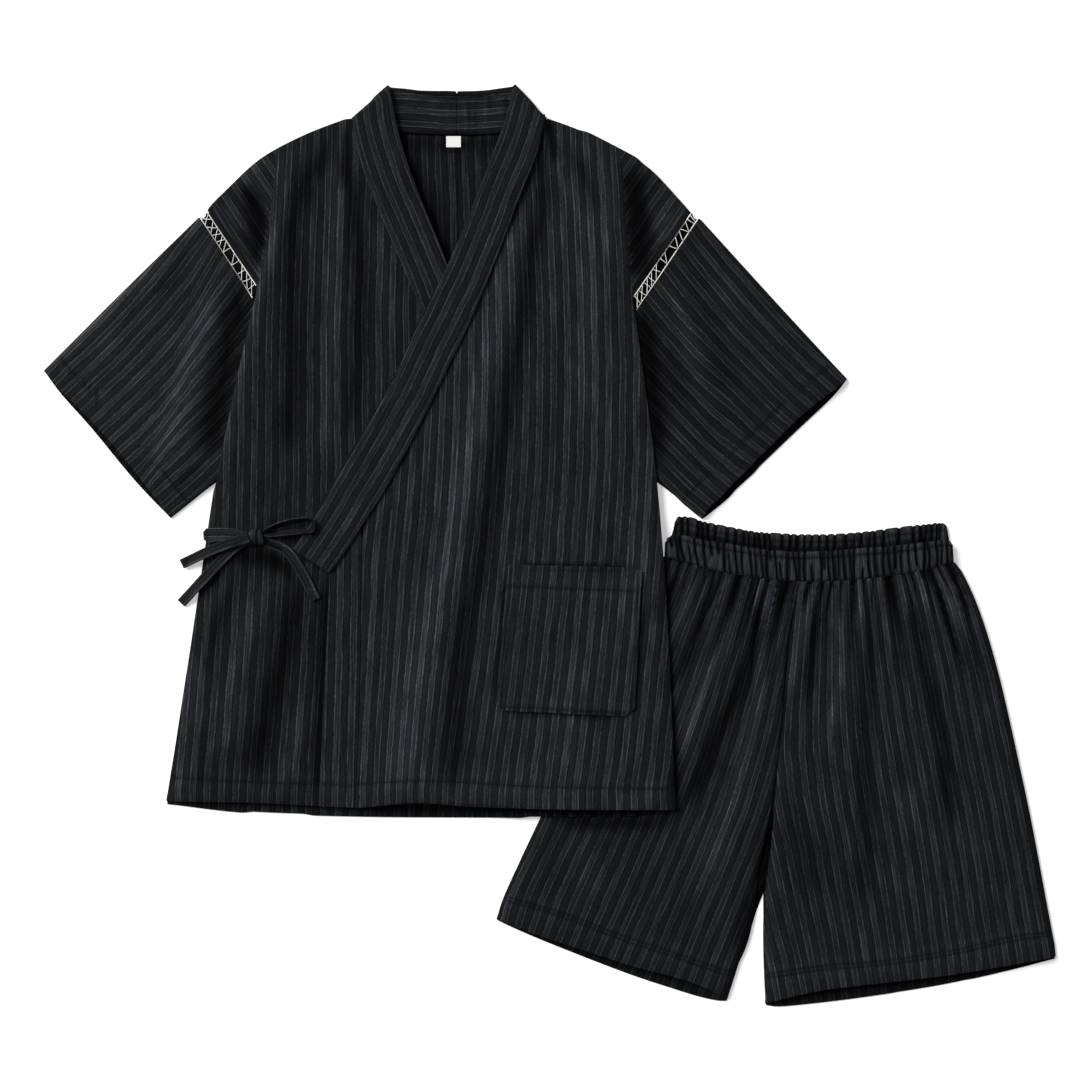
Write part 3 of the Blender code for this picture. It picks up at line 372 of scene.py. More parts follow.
def heightsOn(points, triangles, flat):
    # the height of a skin over each flat point
    lowered = points * (1, 1, 0)
    tree = BVHTree.FromPolygons(lowered.tolist(), triangles)
    heights = np.empty(len(flat))
    for at, (x, y) in enumerate(flat):
        place, _, index, _ = tree.find_nearest((x, y, 0))
        a, b, c = (points[corner] for corner in triangles[index])
        area = (b[0] - a[0]) * (c[1] - a[1]) - (b[1] - a[1]) * (c[0] - a[0])
        if abs(area) < 1e-9:
            heights[at] = a[2]
            continue
        s = ((place.x - a[0]) * (c[1] - a[1]) - (place.y - a[1]) * (c[0] - a[0])) / area
        t = ((b[0] - a[0]) * (place.y - a[1]) - (b[1] - a[1]) * (place.x - a[0])) / area
        level = a[2] + s * (b[2] - a[2]) + t * (c[2] - a[2])
        heights[at] = min(max(level, min(a[2], b[2], c[2])), max(a[2], b[2], c[2]))
    return heights


def latticeInside(outline, spacing, lines):
    # staggered rows of points, clear of the outline and of the lines
    ax, ay = outline.T
    bx, by = np.roll(ax, -1), np.roll(ay, -1)
    kept = np.vstack([resample(line, spacing / 3) for line in [closed(outline), *lines]])
    tree = KDTree(len(kept))
    for at, (x, y) in enumerate(kept):
        tree.insert((x, y, 0), at)
    tree.balance()
    rowStep = spacing * math.sqrt(0.75)
    points = []
    for row in range(math.floor(ay.min() / rowStep), math.ceil(ay.max() / rowStep) + 1):
        y = row * rowStep + 0.013       # so that no row passes through a corner
        cut = (ay > y) != (by > y)
        ends = np.sort(ax[cut] + (y - ay[cut]) * (bx[cut] - ax[cut]) / (by[cut] - ay[cut]))
        stagger = 0.5 * (row % 2)
        for start, end in zip(ends[::2], ends[1::2]):
            columns = np.arange(math.ceil(start / spacing - stagger), end / spacing - stagger)
            points += [((column + stagger) * spacing, y) for column in columns]
    return np.array([(x, y) for x, y in points if tree.find((x, y, 0))[2] > 0.55 * spacing])


def stayInside(lines, outline, margin):
    # the stretches of the lines that lie inside an outline
    ax, ay = outline.T
    bx, by = np.roll(ax, -1), np.roll(ay, -1)
    rise = np.where(by == ay, 1e-9, by - ay)
    kept = []
    for line in lines:
        x, y = line.T[:, :, None]
        crossings = ((ay > y) != (by > y)) & (x < ax + (y - ay) * (bx - ax) / rise)
        inside = crossings.sum(axis=1) % 2 == 1
        usable = inside & (nearestOn(line, closed(outline))[0] > margin)
        stretch = []
        for point, use in zip([*line, line[-1]], [*usable, False]):
            if use:
                stretch.append(point)
            elif len(stretch) > 1:
                kept.append(np.array(stretch))
            if not use:
                stretch = []
    return kept


def allowance(mesh, seam, low, high):
    # the cloth turned in behind a seam, so that no light comes through between two panels
    line = resample(seam, 5)
    levels = heightsOn(*topOf(mesh), line)
    shape = bmesh.new()
    shape.from_mesh(mesh)
    corners = []
    for drop, floor in allowanceLevels:
        heights = np.maximum(levels - drop, floor)
        for across in (low, high):
            row = np.column_stack([sideways(line, across), heights])
            corners.append([shape.verts.new(point * mm) for point in row])
    upperLow, upperHigh, lowerLow, lowerHigh = corners
    sides = ((upperHigh, upperLow), (lowerLow, lowerHigh), (upperLow, lowerLow), (lowerHigh, upperHigh))
    for first, second in sides:
        for at in range(len(line) - 1):
            shape.faces.new((first[at], first[at + 1], second[at + 1], second[at]))
    for at, order in ((0, 1), (-1, -1)):
        shape.faces.new([upperLow[at], upperHigh[at], lowerHigh[at], lowerLow[at]][::order])
    shape.to_mesh(mesh)
    shape.free()


def laidPanel(name, look):
    # a cut panel on its solid's form: finer, with its creases, its seams and a softened rim
    points, triangles, rim = outerSkin(look["node"], look.get("pleated", False))
    outline = rim[:, :2]
    lines = [sideways(resample(seam.line, seamSpacing), offset)
             for seam in look.get("seams", ()) for offset in (-seamReach, 0, seamReach)]
    lines += [resample(line, seamSpacing) for line in look.get("breaks", ())]
    lines += [sideways(resample(gather.path, seamSpacing), offset * gather.width)
              for gather in look.get("gathers", ()) for offset in (-gatherReach, 0, gatherReach)]
    lines = stayInside(lines, outline, rimClear)
    lattice = latticeInside(outline, look["spacing"], lines)
    edges, count = [], len(outline)
    for line in lines:
        edges += [(at, at + 1) for at in range(count, count + len(line) - 1)]
        count += len(line)
    flat = np.vstack([outline, *lines, lattice])
    cut = delaunay_2d_cdt(flat.tolist(), edges, [list(range(len(outline)))], 1, 1e-4)
    flat = np.array([tuple(point) for point in cut[0]])
    heights = heightsOn(points, triangles, flat)
    inward = nearestOn(flat, closed(outline)[::2])[0]
    settled = look.get("settled", 0.3)      # the share of the ripple that is left at the rim
    heights += rippled(flat) * look.get("ripple", 1) * (settled + (1 - settled) * smoothstep(inward / 30))
    heights += creased(look.get("creases", ()), flat) + dented(look, flat)
    heights += gathered(look.get("gathers", ()), flat)[0]
    wall = look.get("wall", clothWall)
    heights = np.maximum(heights, wall + floorGap)
    mesh = plainMesh(name, np.column_stack([flat, heights]), [list(face) for face in cut[2]])
    made = linkedObject(name, mesh)
    if sum(face.normal.z * face.area for face in mesh.polygons) < 0:
        mesh.flip_normals()
    thicker = made.modifiers.new("Wall", "SOLIDIFY")
    thicker.thickness = wall * mm
    thicker.offset = -1
    softer = made.modifiers.new("Softer", "BEVEL")
    softer.width = rimRounding * mm
    softer.segments = 2
    softer.limit_method = "ANGLE"
    softer.angle_limit = math.radians(60)
    finished(made)
    if "eased" in look:
        movePoints(made.data, eased(pointsOf(made.data), look["eased"]))
    return made


def softSolid(name, look):
    # a whole solid made finer and softer, with its thin rims kept
    shape = weldedShape(look["node"])
    bmesh.ops.join_triangles(shape, faces=shape.faces[:], angle_face_threshold=0.6,
                             angle_shape_threshold=0.9)
    limit = math.radians(look.get("sharp", 62))
    crease = shape.edges.layers.float.new("crease_edge")
    for edge in shape.edges:
        if edge.calc_face_angle(0) > limit:
            edge[crease] = look.get("crisp", 0.8)
    made = subdivided(name, shape, 3)
    points = pointsOf(made.data)
    if "drawn" in look:
        points[:, 1] += look["drawn"](points)
    points = eased(points, look.get("eased", ()))
    flat, z = points[:, :2], points[:, 2]
    free = look["free"](points) if "free" in look else 1
    rise = creased(look.get("creases", ()), flat) + rippled(flat) * look.get("ripple", 1)
    risen = z + (rise + dented(look, flat)) * free
    points[:, 2] = np.maximum(risen, np.minimum(z, floorGap))
    movePoints(made.data, points)
    return made


# Where the woven stripes run: rows of y and x along one stripe of the body, and guide lines down each leg
# with their distance across the cloth. Each stretch of cloth has its own offset, so that no two share slubs.
bodyRight = np.array([
    (419.8, 3.7), (366.8, 6.9), (313.8, 9.0), (260.8, 11.1), (207.8, 12.2), (154.8, 11.7), (101.8, 10.6),
    (48.8, 8.0), (-4.2, 3.7), (-57.2, -1.6), (-110.2, -7.4), (-163.2, -13.8), (-216.2, -20.7),
    (-258.6, -27.0),
])
okumiRows = np.array([(60.0, -222.0), (-57.2, -223.0), (-163.2, -225.5), (-258.6, -228.5)])
bodyLeft = np.array([
    (409.2, -254.9), (324.4, -258.1), (239.6, -260.8), (154.8, -261.3), (70.0, -261.3), (-14.8, -262.4),
    (-99.6, -266.6), (-184.4, -272.4), (-258.6, -278.3),
])
leftSide = ((-290, 409), (-299, 330), (-312, 264), (-331, 181), (-349, 92), (-359, 29), (-367, -25),
            (-378, -100), (-388, -165), (-406, -280))
rightSide = ((77, 409), (82, 330), (88.5, 264), (100, 181), (111.5, 92), (117.5, 29), (121.5, -25),
             (126, -100), (129, -165), (133, -280))
leftLeg = (
    (0, (
        (121, -11), (107, -47), (80, -100), (43, -179), (-9, -288), (-48, -371), (-56, -396), (-75, -460),
    )),
    (106, (
        (207, -10), (200, -31), (180, -100), (157, -170), (132, -240), (104, -310), (73, -380), (41, -450),
        (22, -490),
    )),
    (191, (
        (266, -10), (262, -37), (252, -90), (238, -150), (222, -220), (200, -290), (172, -360),
        (143, -430), (119, -490),
    )),
)
rightLeg = (
    (0, (
        (272, -10), (272, -37), (268, -90), (263, -150), (260, -200), (262, -240), (268, -280),
        (276, -320), (288, -380), (301, -445), (308, -490),
    )),
    (109, (
        (349, -10), (350, -33), (357, -90), (366, -150), (376, -210), (387, -270), (397, -330),
        (406, -400), (413, -455), (416, -490),
    )),
    (232, (
        (427, -10), (430, -17), (446, -46), (462, -89), (478, -145), (490, -201), (504, -263), (518, -335),
        (530, -400), (537, -436), (546, -490),
    )),
)


def bodyStripes(rows, shift=0.0, straightened=False):
    # stripes down the jacket; beside the overlap they can be straightened along its seam
    y, x = rows[::-1].T

    def stripesAt(points, centres):
        start = np.interp(points[:, 1], y, x)
        if straightened:
            share = smoothstep((-95 - points[:, 0]) / 110) * smoothstep((40 - points[:, 1]) / 80)
            start = start - 0.75 * share * (start - 3.7)
        pitch = 14.2 + (366.8 - points[:, 1]) * 0.00208        # the body widens towards its hem
        return (points[:, 0] - start) / pitch * stripePitch + shift, -points[:, 1]
    return stripesAt


def cappedStripes(rows, side, lace, inwards):
    # a front's stripes, and those of its shoulder cap, which run along the lace
    body = bodyStripes(rows, straightened=inwards < 0)
    edge = smoothLine(side, 8)
    start, end = np.array(lace, float)
    run = (end - start) / np.linalg.norm(end - start)
    across = np.array((-run[1], run[0])) * inwards

    def stripesAt(points, centres):
        u, v = body(points, centres)
        beyond = (centres[:, 0] - xOn(edge, centres[:, 1])) * inwards < 0
        cap = beyond & (centres[:, 1] > end[1] - 12)
        flat = points[:, :2] - start
        return np.where(cap, flat @ across + 300, u), np.where(cap, flat @ run + 700, v)
    return stripesAt


def legStripes(guides):
    # stripes that fan out between the three guide lines of a leg
    lines = [(u, smoothLine(line, 8)) for u, line in guides]

    def stripesAt(points, centres):
        x, y = points[:, 0], points[:, 1]
        (start, left), (middle, centre), (end, right) = ((u, xOn(line, y)) for u, line in lines)
        inner, outer = (x - left) / (centre - left), (x - centre) / (right - centre)
        u = np.where(inner < 1, start + inner * (middle - start), middle + outer * (end - middle))
        return u, -y * 1.04     # a leg is drawn in a little lengthwise
    return stripesAt


sleeveLean = math.radians(42)


def sleeveStripes(shoulder, turn, bends):
    # stripes along a sleeve, steeper near the armhole than at the cuff; they step aside across a ridge
    shoulder = np.array(shoulder, float)
    run = np.array((math.sin(sleeveLean) * turn, -math.cos(sleeveLean)))
    spines = [(smoothLine(path, 8), reach, aside) for path, reach, aside in bends]

    def stripesAt(points, centres):
        flat = points[:, :2] - shoulder
        down = flat @ run
        u = flat @ np.array((-run[1], run[0])) + turn * (0.105 * down - 0.00048 * down**2)
        for spine, reach, aside in spines:
            away, _, side = nearestOn(points[:, :2], spine)
            u = u + aside * (smoothstep(0.5 + 0.5 * away * side / reach) - 0.5)
        return u, down + 900
    return stripesAt


def bandStripes(line, stretch=1.0, shift=0.0, across=False):
    # stripes along a strip of cloth, or across it
    spine = smoothLine(line, 6)

    def stripesAt(points, centres):
        away, along, side = nearestOn(points[:, :2], spine)
        if across:
            return along * stretch + shift, away * side
        return away * side + shift, along
    return stripesAt


# Materials
def linear(colour):
    # sRGB hex to the linear values that Blender mixes
    parts = [int(colour[at:at + 2], 16) / 255 for at in (0, 2, 4)]
    return (*(part / 12.92 if part <= 0.04045 else ((part + 0.055) / 1.055) ** 2.4 for part in parts), 1)


def addNode(tree, kind, inputs, **settings):
    # a node with its settings, each input a value or the socket it comes from; returns its first output
    node = tree.nodes.new(kind)
    for name, value in settings.items():
        setattr(node, name, value)
    for name, value in inputs.items():
        if isinstance(value, bpy.types.NodeSocket):
            tree.links.new(value, node.inputs[name])
        else:
            node.inputs[name].default_value = value
    return node.outputs[0] if node.outputs else node


def newMaterial(name):
    material = bpy.data.materials.new(name)
    material.use_nodes = True
    material.node_tree.nodes.clear()
    return material, material.node_tree


# one repeat of the stripe: how much of the pale warp, of the half-pale filling and of the dark edge shows
stripeStops = (
    (0.000, (0, 0, 0)), (0.050, (0, 0, 0)), (0.065, (0.22, 0, 0)), (0.090, (0, 0, 0)),
    (0.235, (0, 0, 0.1)), (0.275, (0, 0, 1)), (0.305, (0.1, 0, 0.8)), (0.335, (1, 0.2, 0)),
    (0.380, (0.95, 0.5, 0)), (0.410, (0.1, 1, 0)), (0.470, (0, 0.9, 0)), (0.530, (0.35, 0.7, 0)),
    (0.560, (0, 0.8, 0)), (0.690, (0.05, 1, 0)), (0.725, (0.85, 0.5, 0)), (0.770, (0.9, 0.2, 0)),
    (0.800, (0.1, 0, 0.8)), (0.835, (0, 0, 1)), (0.885, (0, 0, 0.1)), (0.930, (0.2, 0, 0)),
    (0.955, (0, 0, 0)), (1.000, (0, 0, 0)),
)

# the uneven yarn: features a millimetre across and along the stripes, and the values that give none and all
slubNoises = dict(
    bending=Noise(0.010, 0.017, 3, 0, 1, 0.5),      # stripes wander
    wobble=Noise(0.9, 0.16, 2, 0, 1, 0.5),          # and their edges are ragged
    streak=Noise(0.80, 0.026, 3, 0.36, 0.64, 0.5),  # long streaks, a little wider than real yarn to show
    fleck=Noise(1.0, 0.26, 4, 0.38, 0.64, 0.7),     # short slubs, as coarse as they need to show
    nap=Noise(0.90, 0.80, 3, 0.30, 0.70, 0.65),
    cloud=Noise(0.045, 0.02, 2, 0.3, 0.7, 0.5),
    warp=Noise(1.25, 0.30, 2, 0, 1, 0.5),           # threads 0.8 mm apart: coarser than the real 0.4 mm weave
    weft=Noise(0.30, 1.25, 2, 0, 1, 0.5),
)
napShares = (("cloud", 0.22), ("streak", 0.46), ("fleck", 0.28), ("nap", 0.66))


def slubCotton(name, look):
    # yarn-dyed slub cotton, woven with pale warps in a near-black ground: matt, uneven along each stripe
    material, tree = newMaterial(name)
    uv = addNode(tree, "ShaderNodeUVMap", {}, uv_map="Cloth")
    place = addNode(tree, "ShaderNodeVectorMath", {0: uv, 1: (1000, 1000, 0)}, operation="MULTIPLY")
    axes = addNode(tree, "ShaderNodeSeparateXYZ", {0: place}).node.outputs
    yarn = {}
    for part, noise in slubNoises.items():
        scale = (noise.across, noise.along, 1)
        scaled = addNode(tree, "ShaderNodeMapping", {"Vector": place, "Scale": scale})
        pattern = addNode(tree, "ShaderNodeTexNoise", {
            "Vector": scaled, "Scale": 1.0, "Detail": noise.detail, "Roughness": noise.roughness})
        yarn[part] = addNode(tree, "ShaderNodeMapRange", {
            "Value": pattern, "From Min": noise.low, "From Max": noise.high})
    # where the stripes run, and one luck for each of them
    drift = addNode(tree, "ShaderNodeMath", {0: yarn["bending"], 1: 3.4, 2: -1.7}, operation="MULTIPLY_ADD")
    drift = addNode(tree, "ShaderNodeMath", {0: yarn["wobble"], 1: 1.5, 2: drift}, operation="MULTIPLY_ADD")
    across = addNode(tree, "ShaderNodeMath", {0: axes[0], 1: drift}, operation="ADD")
    repeat = addNode(tree, "ShaderNodeMath", {0: across, 1: stripePitch}, operation="DIVIDE")
    share = addNode(tree, "ShaderNodeMath", {0: repeat}, operation="FRACT")
    number = addNode(tree, "ShaderNodeMath", {0: repeat}, operation="FLOOR")
    luck = addNode(tree, "ShaderNodeTexWhiteNoise", {"W": number}, noise_dimensions="1D")
    stripes = addNode(tree, "ShaderNodeValToRGB", {0: share})
    ramp = stripes.node.color_ramp
    while len(ramp.elements) < len(stripeStops):
        ramp.elements.new(0.5)
    for element, (position, shares) in zip(ramp.elements, stripeStops):
        element.position = position
        element.color = (*shares, 1)
    warps, fillings, edges = addNode(tree, "ShaderNodeSeparateColor", {0: stripes}).node.outputs
    # the pale yarn that shows: the warps' lines, and the filling between them
    grain = addNode(tree, "ShaderNodeMath", {0: yarn["fleck"], 1: yarn["streak"]}, operation="ADD")
    shown = addNode(tree, "ShaderNodeMath", {0: grain, 1: 0.55, 2: 0.12}, operation="MULTIPLY_ADD")
    lines = addNode(tree, "ShaderNodeMath", {0: warps, 1: shown}, operation="MULTIPLY")
    shown = addNode(tree, "ShaderNodeMath", {0: luck, 1: 0.8, 2: 0.2}, operation="MULTIPLY_ADD")
    shown = addNode(tree, "ShaderNodeMath", {0: shown, 1: yarn["streak"]}, operation="MULTIPLY")
    shown = addNode(tree, "ShaderNodeMath", {0: shown, 1: look.get("filling", 0.47), 2: 0.03},
                    operation="MULTIPLY_ADD")
    filling = addNode(tree, "ShaderNodeMath", {0: fillings, 1: shown}, operation="MULTIPLY")
    pale = addNode(tree, "ShaderNodeMath", {0: lines, 1: filling}, operation="ADD", use_clamp=True)
    ground = addNode(tree, "ShaderNodeMix", {0: edges, 6: linear(look["ground"]), 7: linear(look["dark"])},
                     data_type="RGBA").node.outputs[2]
    mixed = addNode(tree, "ShaderNodeMix", {0: pale, 6: ground, 7: linear(look["pale"])},
                    data_type="RGBA").node.outputs[2]
    # the nap breaks the colour up, and the piece's painted shade and highlights lie over it
    yarnMottle = 0.14
    for part, share in napShares:
        yarnMottle = addNode(tree, "ShaderNodeMath", {0: yarn[part], 1: share, 2: yarnMottle},
                         operation="MULTIPLY_ADD")
    # the painted shade and highlights that the piece carries in its shade attribute
    fibreToneAndPaintedShade = addNode(tree, "ShaderNodeAttribute", {}, attribute_name="shade").node.outputs["Fac"]
    tone = addNode(tree, "ShaderNodeMath", {0: fibreToneAndPaintedShade, 1: yarnMottle}, operation="MULTIPLY")
    colour = addNode(tree, "ShaderNodeVectorMath", {0: mixed, "Scale": tone}, operation="SCALE")
    weave = addNode(tree, "ShaderNodeMath", {0: yarn["warp"], 1: yarn["weft"]}, operation="ADD")
    height = addNode(tree, "ShaderNodeMath", {0: pale, 1: 0.35, 2: weave}, operation="MULTIPLY_ADD")
    bump = addNode(tree, "ShaderNodeBump", {"Strength": 0.6, "Distance": 0.0005, "Height": height})
    shader = addNode(tree, "ShaderNodeBsdfPrincipled", {
        "Base Color": colour, "Roughness": 0.92, "Specular IOR Level": 0.03, "Normal": bump,
        "Sheen Weight": 0.02, "Sheen Roughness": 0.5, "Sheen Tint": linear("c9cbd2"),
    })
    addNode(tree, "ShaderNodeOutputMaterial", {0: shader})
    return material


def plainYarn(name, colour, roughness, fibreScale, fibreDepth):
    # plain thread or tape: a matt yarn with a fine uneven surface
    material, tree = newMaterial(name)
    place = addNode(tree, "ShaderNodeTexCoord", {}).node.outputs["Object"]
    fibres = addNode(tree, "ShaderNodeTexNoise", {"Vector": place, "Scale": fibreScale, "Detail": 3.0})
    fibreToneAndPaintedShade = addNode(tree, "ShaderNodeMapRange", {"Value": fibres, "To Min": 0.82, "To Max": 1.08})
    tinted = addNode(tree, "ShaderNodeVectorMath", {0: linear(colour)[:3], "Scale": fibreToneAndPaintedShade}, operation="SCALE")
    bump = addNode(tree, "ShaderNodeBump", {"Strength": 0.5, "Distance": fibreDepth, "Height": fibres})
    shader = addNode(tree, "ShaderNodeBsdfPrincipled", {
        "Base Color": tinted, "Roughness": roughness, "Specular IOR Level": 0.25, "Normal": bump,
        "Sheen Weight": 0.1, "Sheen Roughness": 0.5})
    addNode(tree, "ShaderNodeOutputMaterial", {0: shader})
    return material


jacketCotton = slubCotton("SlubCottonJacket", dict(ground="191a1c", dark="121214", pale="3e4045"))
sleeveCotton = slubCotton("SlubCottonSleeve", dict(ground="1b1c1e", dark="141416", pale="404247"))
collarCotton = slubCotton("SlubCottonCollar", dict(ground="1a1b1d", dark="131315", pale="3f4146"))
shortsCotton = slubCotton("SlubCottonShorts", dict(
    ground="17181a", dark="101012", pale="383a3e", filling=0.35,
))
# the same cotton drawn up by elastic, so its stripes crowd and hardly show
bandCotton = slubCotton("SlubCottonBand", dict(ground="1a1b1d", dark="141416", pale="323438", filling=0.35))
laceThread = plainYarn("CottonLaceThread", "f8f5ee", 0.85, 2200, 0.0002)        # pale, soft and dry
labelWeave = plainYarn("WovenLabelTape", "f3f3f1", 0.8, 2600, 0.0002)           # flat, white and close
blackThread = plainYarn("BlackSewingThread", "17171a", 0.7, 1500, 0.0001)       # a little smoother
print("materials made")


def addShade(made, look):
    # painted shade and highlights: troughs, seam dents and rims are painted darker, crests a little lighter,
    # and the piece's tones are laid on
    points = pointsOf(made.data)
    flat, z = points[:, :2], points[:, 2]
    sewn = np.zeros(len(flat))
    # painted shade in each seam's dent, with a faint painted highlight on the cloth beside it
    for seam in look.get("seams", ()):
        away = nearestOn(flat, resample(seam.line, 4))[0]
        sewn += 0.12 * bell(away - 6, 5) - 0.9 * bell(away, 1.2)
    painted = look.get("tone", 0) + paintedShadingAt(look.get("tones", ()), flat) + oneSided(look, flat)
    painted += gathered(look.get("gathers", ()), flat)[1]
    if "deep" in look:      # what lies low, behind a hem, is in the shade of what lies over it
        level, amount = look["deep"]
        painted += amount * smoothstep((level + 0.3 - z) / 0.6)
    facing = valuesOf(made.data.vertices, "normal", 3)[:, 2]
    # painted shade on the rims
    painted -= 0.6 * (1 - smoothstep((facing - 0.15) / 0.7))        # rims are darker than what faces up
    raised = 0.03 * creased(look.get("creases", ()), flat)
    tone = np.clip(np.exp(1.5 * painted + raised + sewn), 0.08, 2.1)
    layer = made.data.attributes.new("shade", "FLOAT", "POINT")
    layer.data.foreach_set("value", tone.astype(np.float32))


def writeStripes(made, stripesAt):
    # the cloth's own directions as a UV map in metres: u across the stripes, v along them
    mesh = made.data
    corners = valuesOf(mesh.loops, "vertex_index", kind=np.int32)
    totals = valuesOf(mesh.polygons, "loop_total", kind=np.int32)
    centres = np.repeat(valuesOf(mesh.polygons, "center", 3).astype(float) / mm, totals, axis=0)
    u, v = stripesAt(pointsOf(mesh)[corners], centres)
    layer = mesh.uv_layers.new(name="Cloth")
    layer.data.foreach_set("uv", np.stack([u, v], axis=1).astype(np.float32).ravel() * mm)


def finishedPiece(shaped, name, look, material):
    # a piece made by one of the shaping functions, joined at its seams, coloured, attached to the root body
    # and shown in place of its CAD part
    made = shaped(name, look)
    for line, low, high in look.get("allowances", ()):
        allowance(made.data, line, low, high)
    made.data.materials.clear()
    made.data.materials.append(material)
    if "stripes" in look:
        writeStripes(made, look["stripes"])
        addShade(made, look)
    made.data.shade_smooth()
    made.data.set_sharp_from_angle(angle=math.radians(40))
    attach(made, "root")
    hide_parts(look["node"])
    made.data.calc_loop_triangles()
    print(name, len(made.data.loop_triangles), "triangles")
    return made


# Jacket
laceLeft = ((-363, 355), (-310, 276))
laceRight = ((150, 354), (88, 264))
hemRow = ((-402, -246), (-299, -251), (-208, -253), (-153, -249), (-98, -250), (-31, -254), (55, -256),
          (131, -257))

leftFlank = Ease(((-357, 70), *leftSide[5:]), -2.1, -0.2, 7)
leftShoulder = Ease(((-366, 350), (-346, 372), (-300, 413), (-255, 436), (-206, 453)), -0.7, 2.9, 8)
rightShoulder = Ease(((30, 441), (68, 424), (100, 404)), 0.9, 1.9, 7)
neckSeam = smoothLine(((-209, 452), (-161, 439), (-98, 436), (-47, 439), (-3, 453)), 5)
labelEdge = ((-110, 436), (-110, 421.4), (-93.8, 421.4), (-93.8, 436))
backLook = dict(
    eased=(
        leftFlank, leftShoulder, rightShoulder,
        Ease(((-262, -285), (-140, -287), (-20, -287)), 0, -1.7, 6),
        Ease(((-420, -268), (-385, -273), (-350, -278), (-315, -282)), 0, -1.9, 6),
    ),
    cut=dict(flat=(0.54, 0.745), area=0.322, held="laid", rests_on=["shortsFrontLeft"]),
    node="jacket_back", spacing=6.0, ripple=0.6, settled=0.2,
    allowances=((neckSeam, -2, 7), (((-216, 446.5), (-199, 455)), -5, 1.5)),
    breaks=tuple(sideways(resample(labelEdge, 1.5), across) for across in (-0.9, 0.9)), tone=-0.22,
    # painted shade round the label, in the neck beside the collar and under its edge, and along the hem where
    # the fronts lie over the back
    tones=(
        PaintedShading(labelEdge, (1.0, 1.0), -0.9),
        PaintedShading(((-172, 440), (-150, 380), (-118, 300), (-100, 240)), (14, 26), -0.85),
        PaintedShading(((-30, 440), (-52, 380), (-88, 300), (-104, 250)), (8, 12), -0.35),
        PaintedShading(((-190, 430), (-98, 427), (0, 432)), (9, 9), -0.5),
        PaintedShading(((-205, -279), (-100, -281), (131, -282)), (7, 7), -0.8),
    ),
    stripes=bodyStripes(bodyRight, 3),
    creases=(
        Crease((-60, 300), (-66, 120), (-80, -60), 13, 0.8),
        Crease((-170, 250), (-180, 90), (-192, -90), 15, 0.9),
        Crease((20, 210), (26, 60), (24, -120), 12, -0.7),
        Crease((-260, 120), (-270, 10), (-290, -150), 12, 0.8),
    ),
    seams=(
        Seam(smoothLine(((-400, -247), (-211, -262), (131, -258)), 8), 0.3, 1.6),
        Seam(np.array(((-98, 430), (-98, -284))), 0.4, 1.5),
    ),
)
finishedPiece(laidPanel, "jacketBack", backLook, jacketCotton)

# painted shading of the under front: shade beside the collar, under the bow and beside the over front's edge,
# shade in its troughs and highlights on its crests
underTones = (
    PaintedShading(((-212.5, 452), (-215.5, 432), (-217, 405), (-218, 375)), (4, 5.5), -1.0),
    PaintedShading(((-222, 446), (-226, 409), (-229, 380)), (4, 4), 0.25),
    PaintedShading(((-232, 444), (-240, 415), (-248, 385)), (5, 6), -0.4),
    PaintedShading(((-236, -26), (-239, -90), (-243, -170), (-247, -275)), (7, 4.5), -1.0),
    PaintedShading(((-318, -4), (-300, -9), (-284, -20), (-268, -44)), (6, 5), -0.6),
    PaintedShading(((-340, -22), (-360, -42), (-376, -60)), (5, 4), -0.5),
    PaintedShading(((-278, 2), (-262, -4), (-240, -22)), (7, 5), -0.7),
    PaintedShading(((-289, 351), (-312, 261), (-333, 176), (-355, 65)), (7, 9), 0.5),
    PaintedShading(((-238, 425), (-261, 383), (-274, 330), (-274, 245), (-273, 176), (-282, 91)), (8, 10), -0.75),
    PaintedShading(((-222, 420), (-227, 340), (-231, 261), (-235, 155), (-239, 81)), (7, 8), 0.4),
    PaintedShading(((-210, 409), (-206, 340), (-201, 287), (-203, 208), (-214, 107)), (7, 9), -0.6),
    PaintedShading(((-188, 351), (-174, 261), (-180, 176)), (8, 9), 0.2),
    PaintedShading(((-365, -2), (-328, -11), (-264, -21)), (9, 9), -0.9),
    PaintedShading(((-333, -25), (-344, -63), (-360, -110), (-367, -153)), (7, 7), -0.5),
    PaintedShading(((-299, -25), (-320, -89), (-337, -153), (-349, -232)), (11, 12), 0.45),
    PaintedShading(((-266, -31), (-278, -100), (-299, -179), (-315, -253)), (9, 12), -0.95),
    PaintedShading(((-259, -158), (-273, -211), (-280, -264)), (7, 8), 0.45),
    PaintedShading(((-365, -89), (-379, -163), (-394, -243)), (6, 6), 0.25),
    PaintedShading(((-364, -179), (-368, -222), (-372, -269)), (4, 4), -0.35),
    PaintedShading(((-286, 420), (-281, 390), (-277, 367)), (5, 5), 0.3),
    PaintedShading(((-290, 408), (-288, 350), (-296, 280)), (8, 8), 0.35),
)
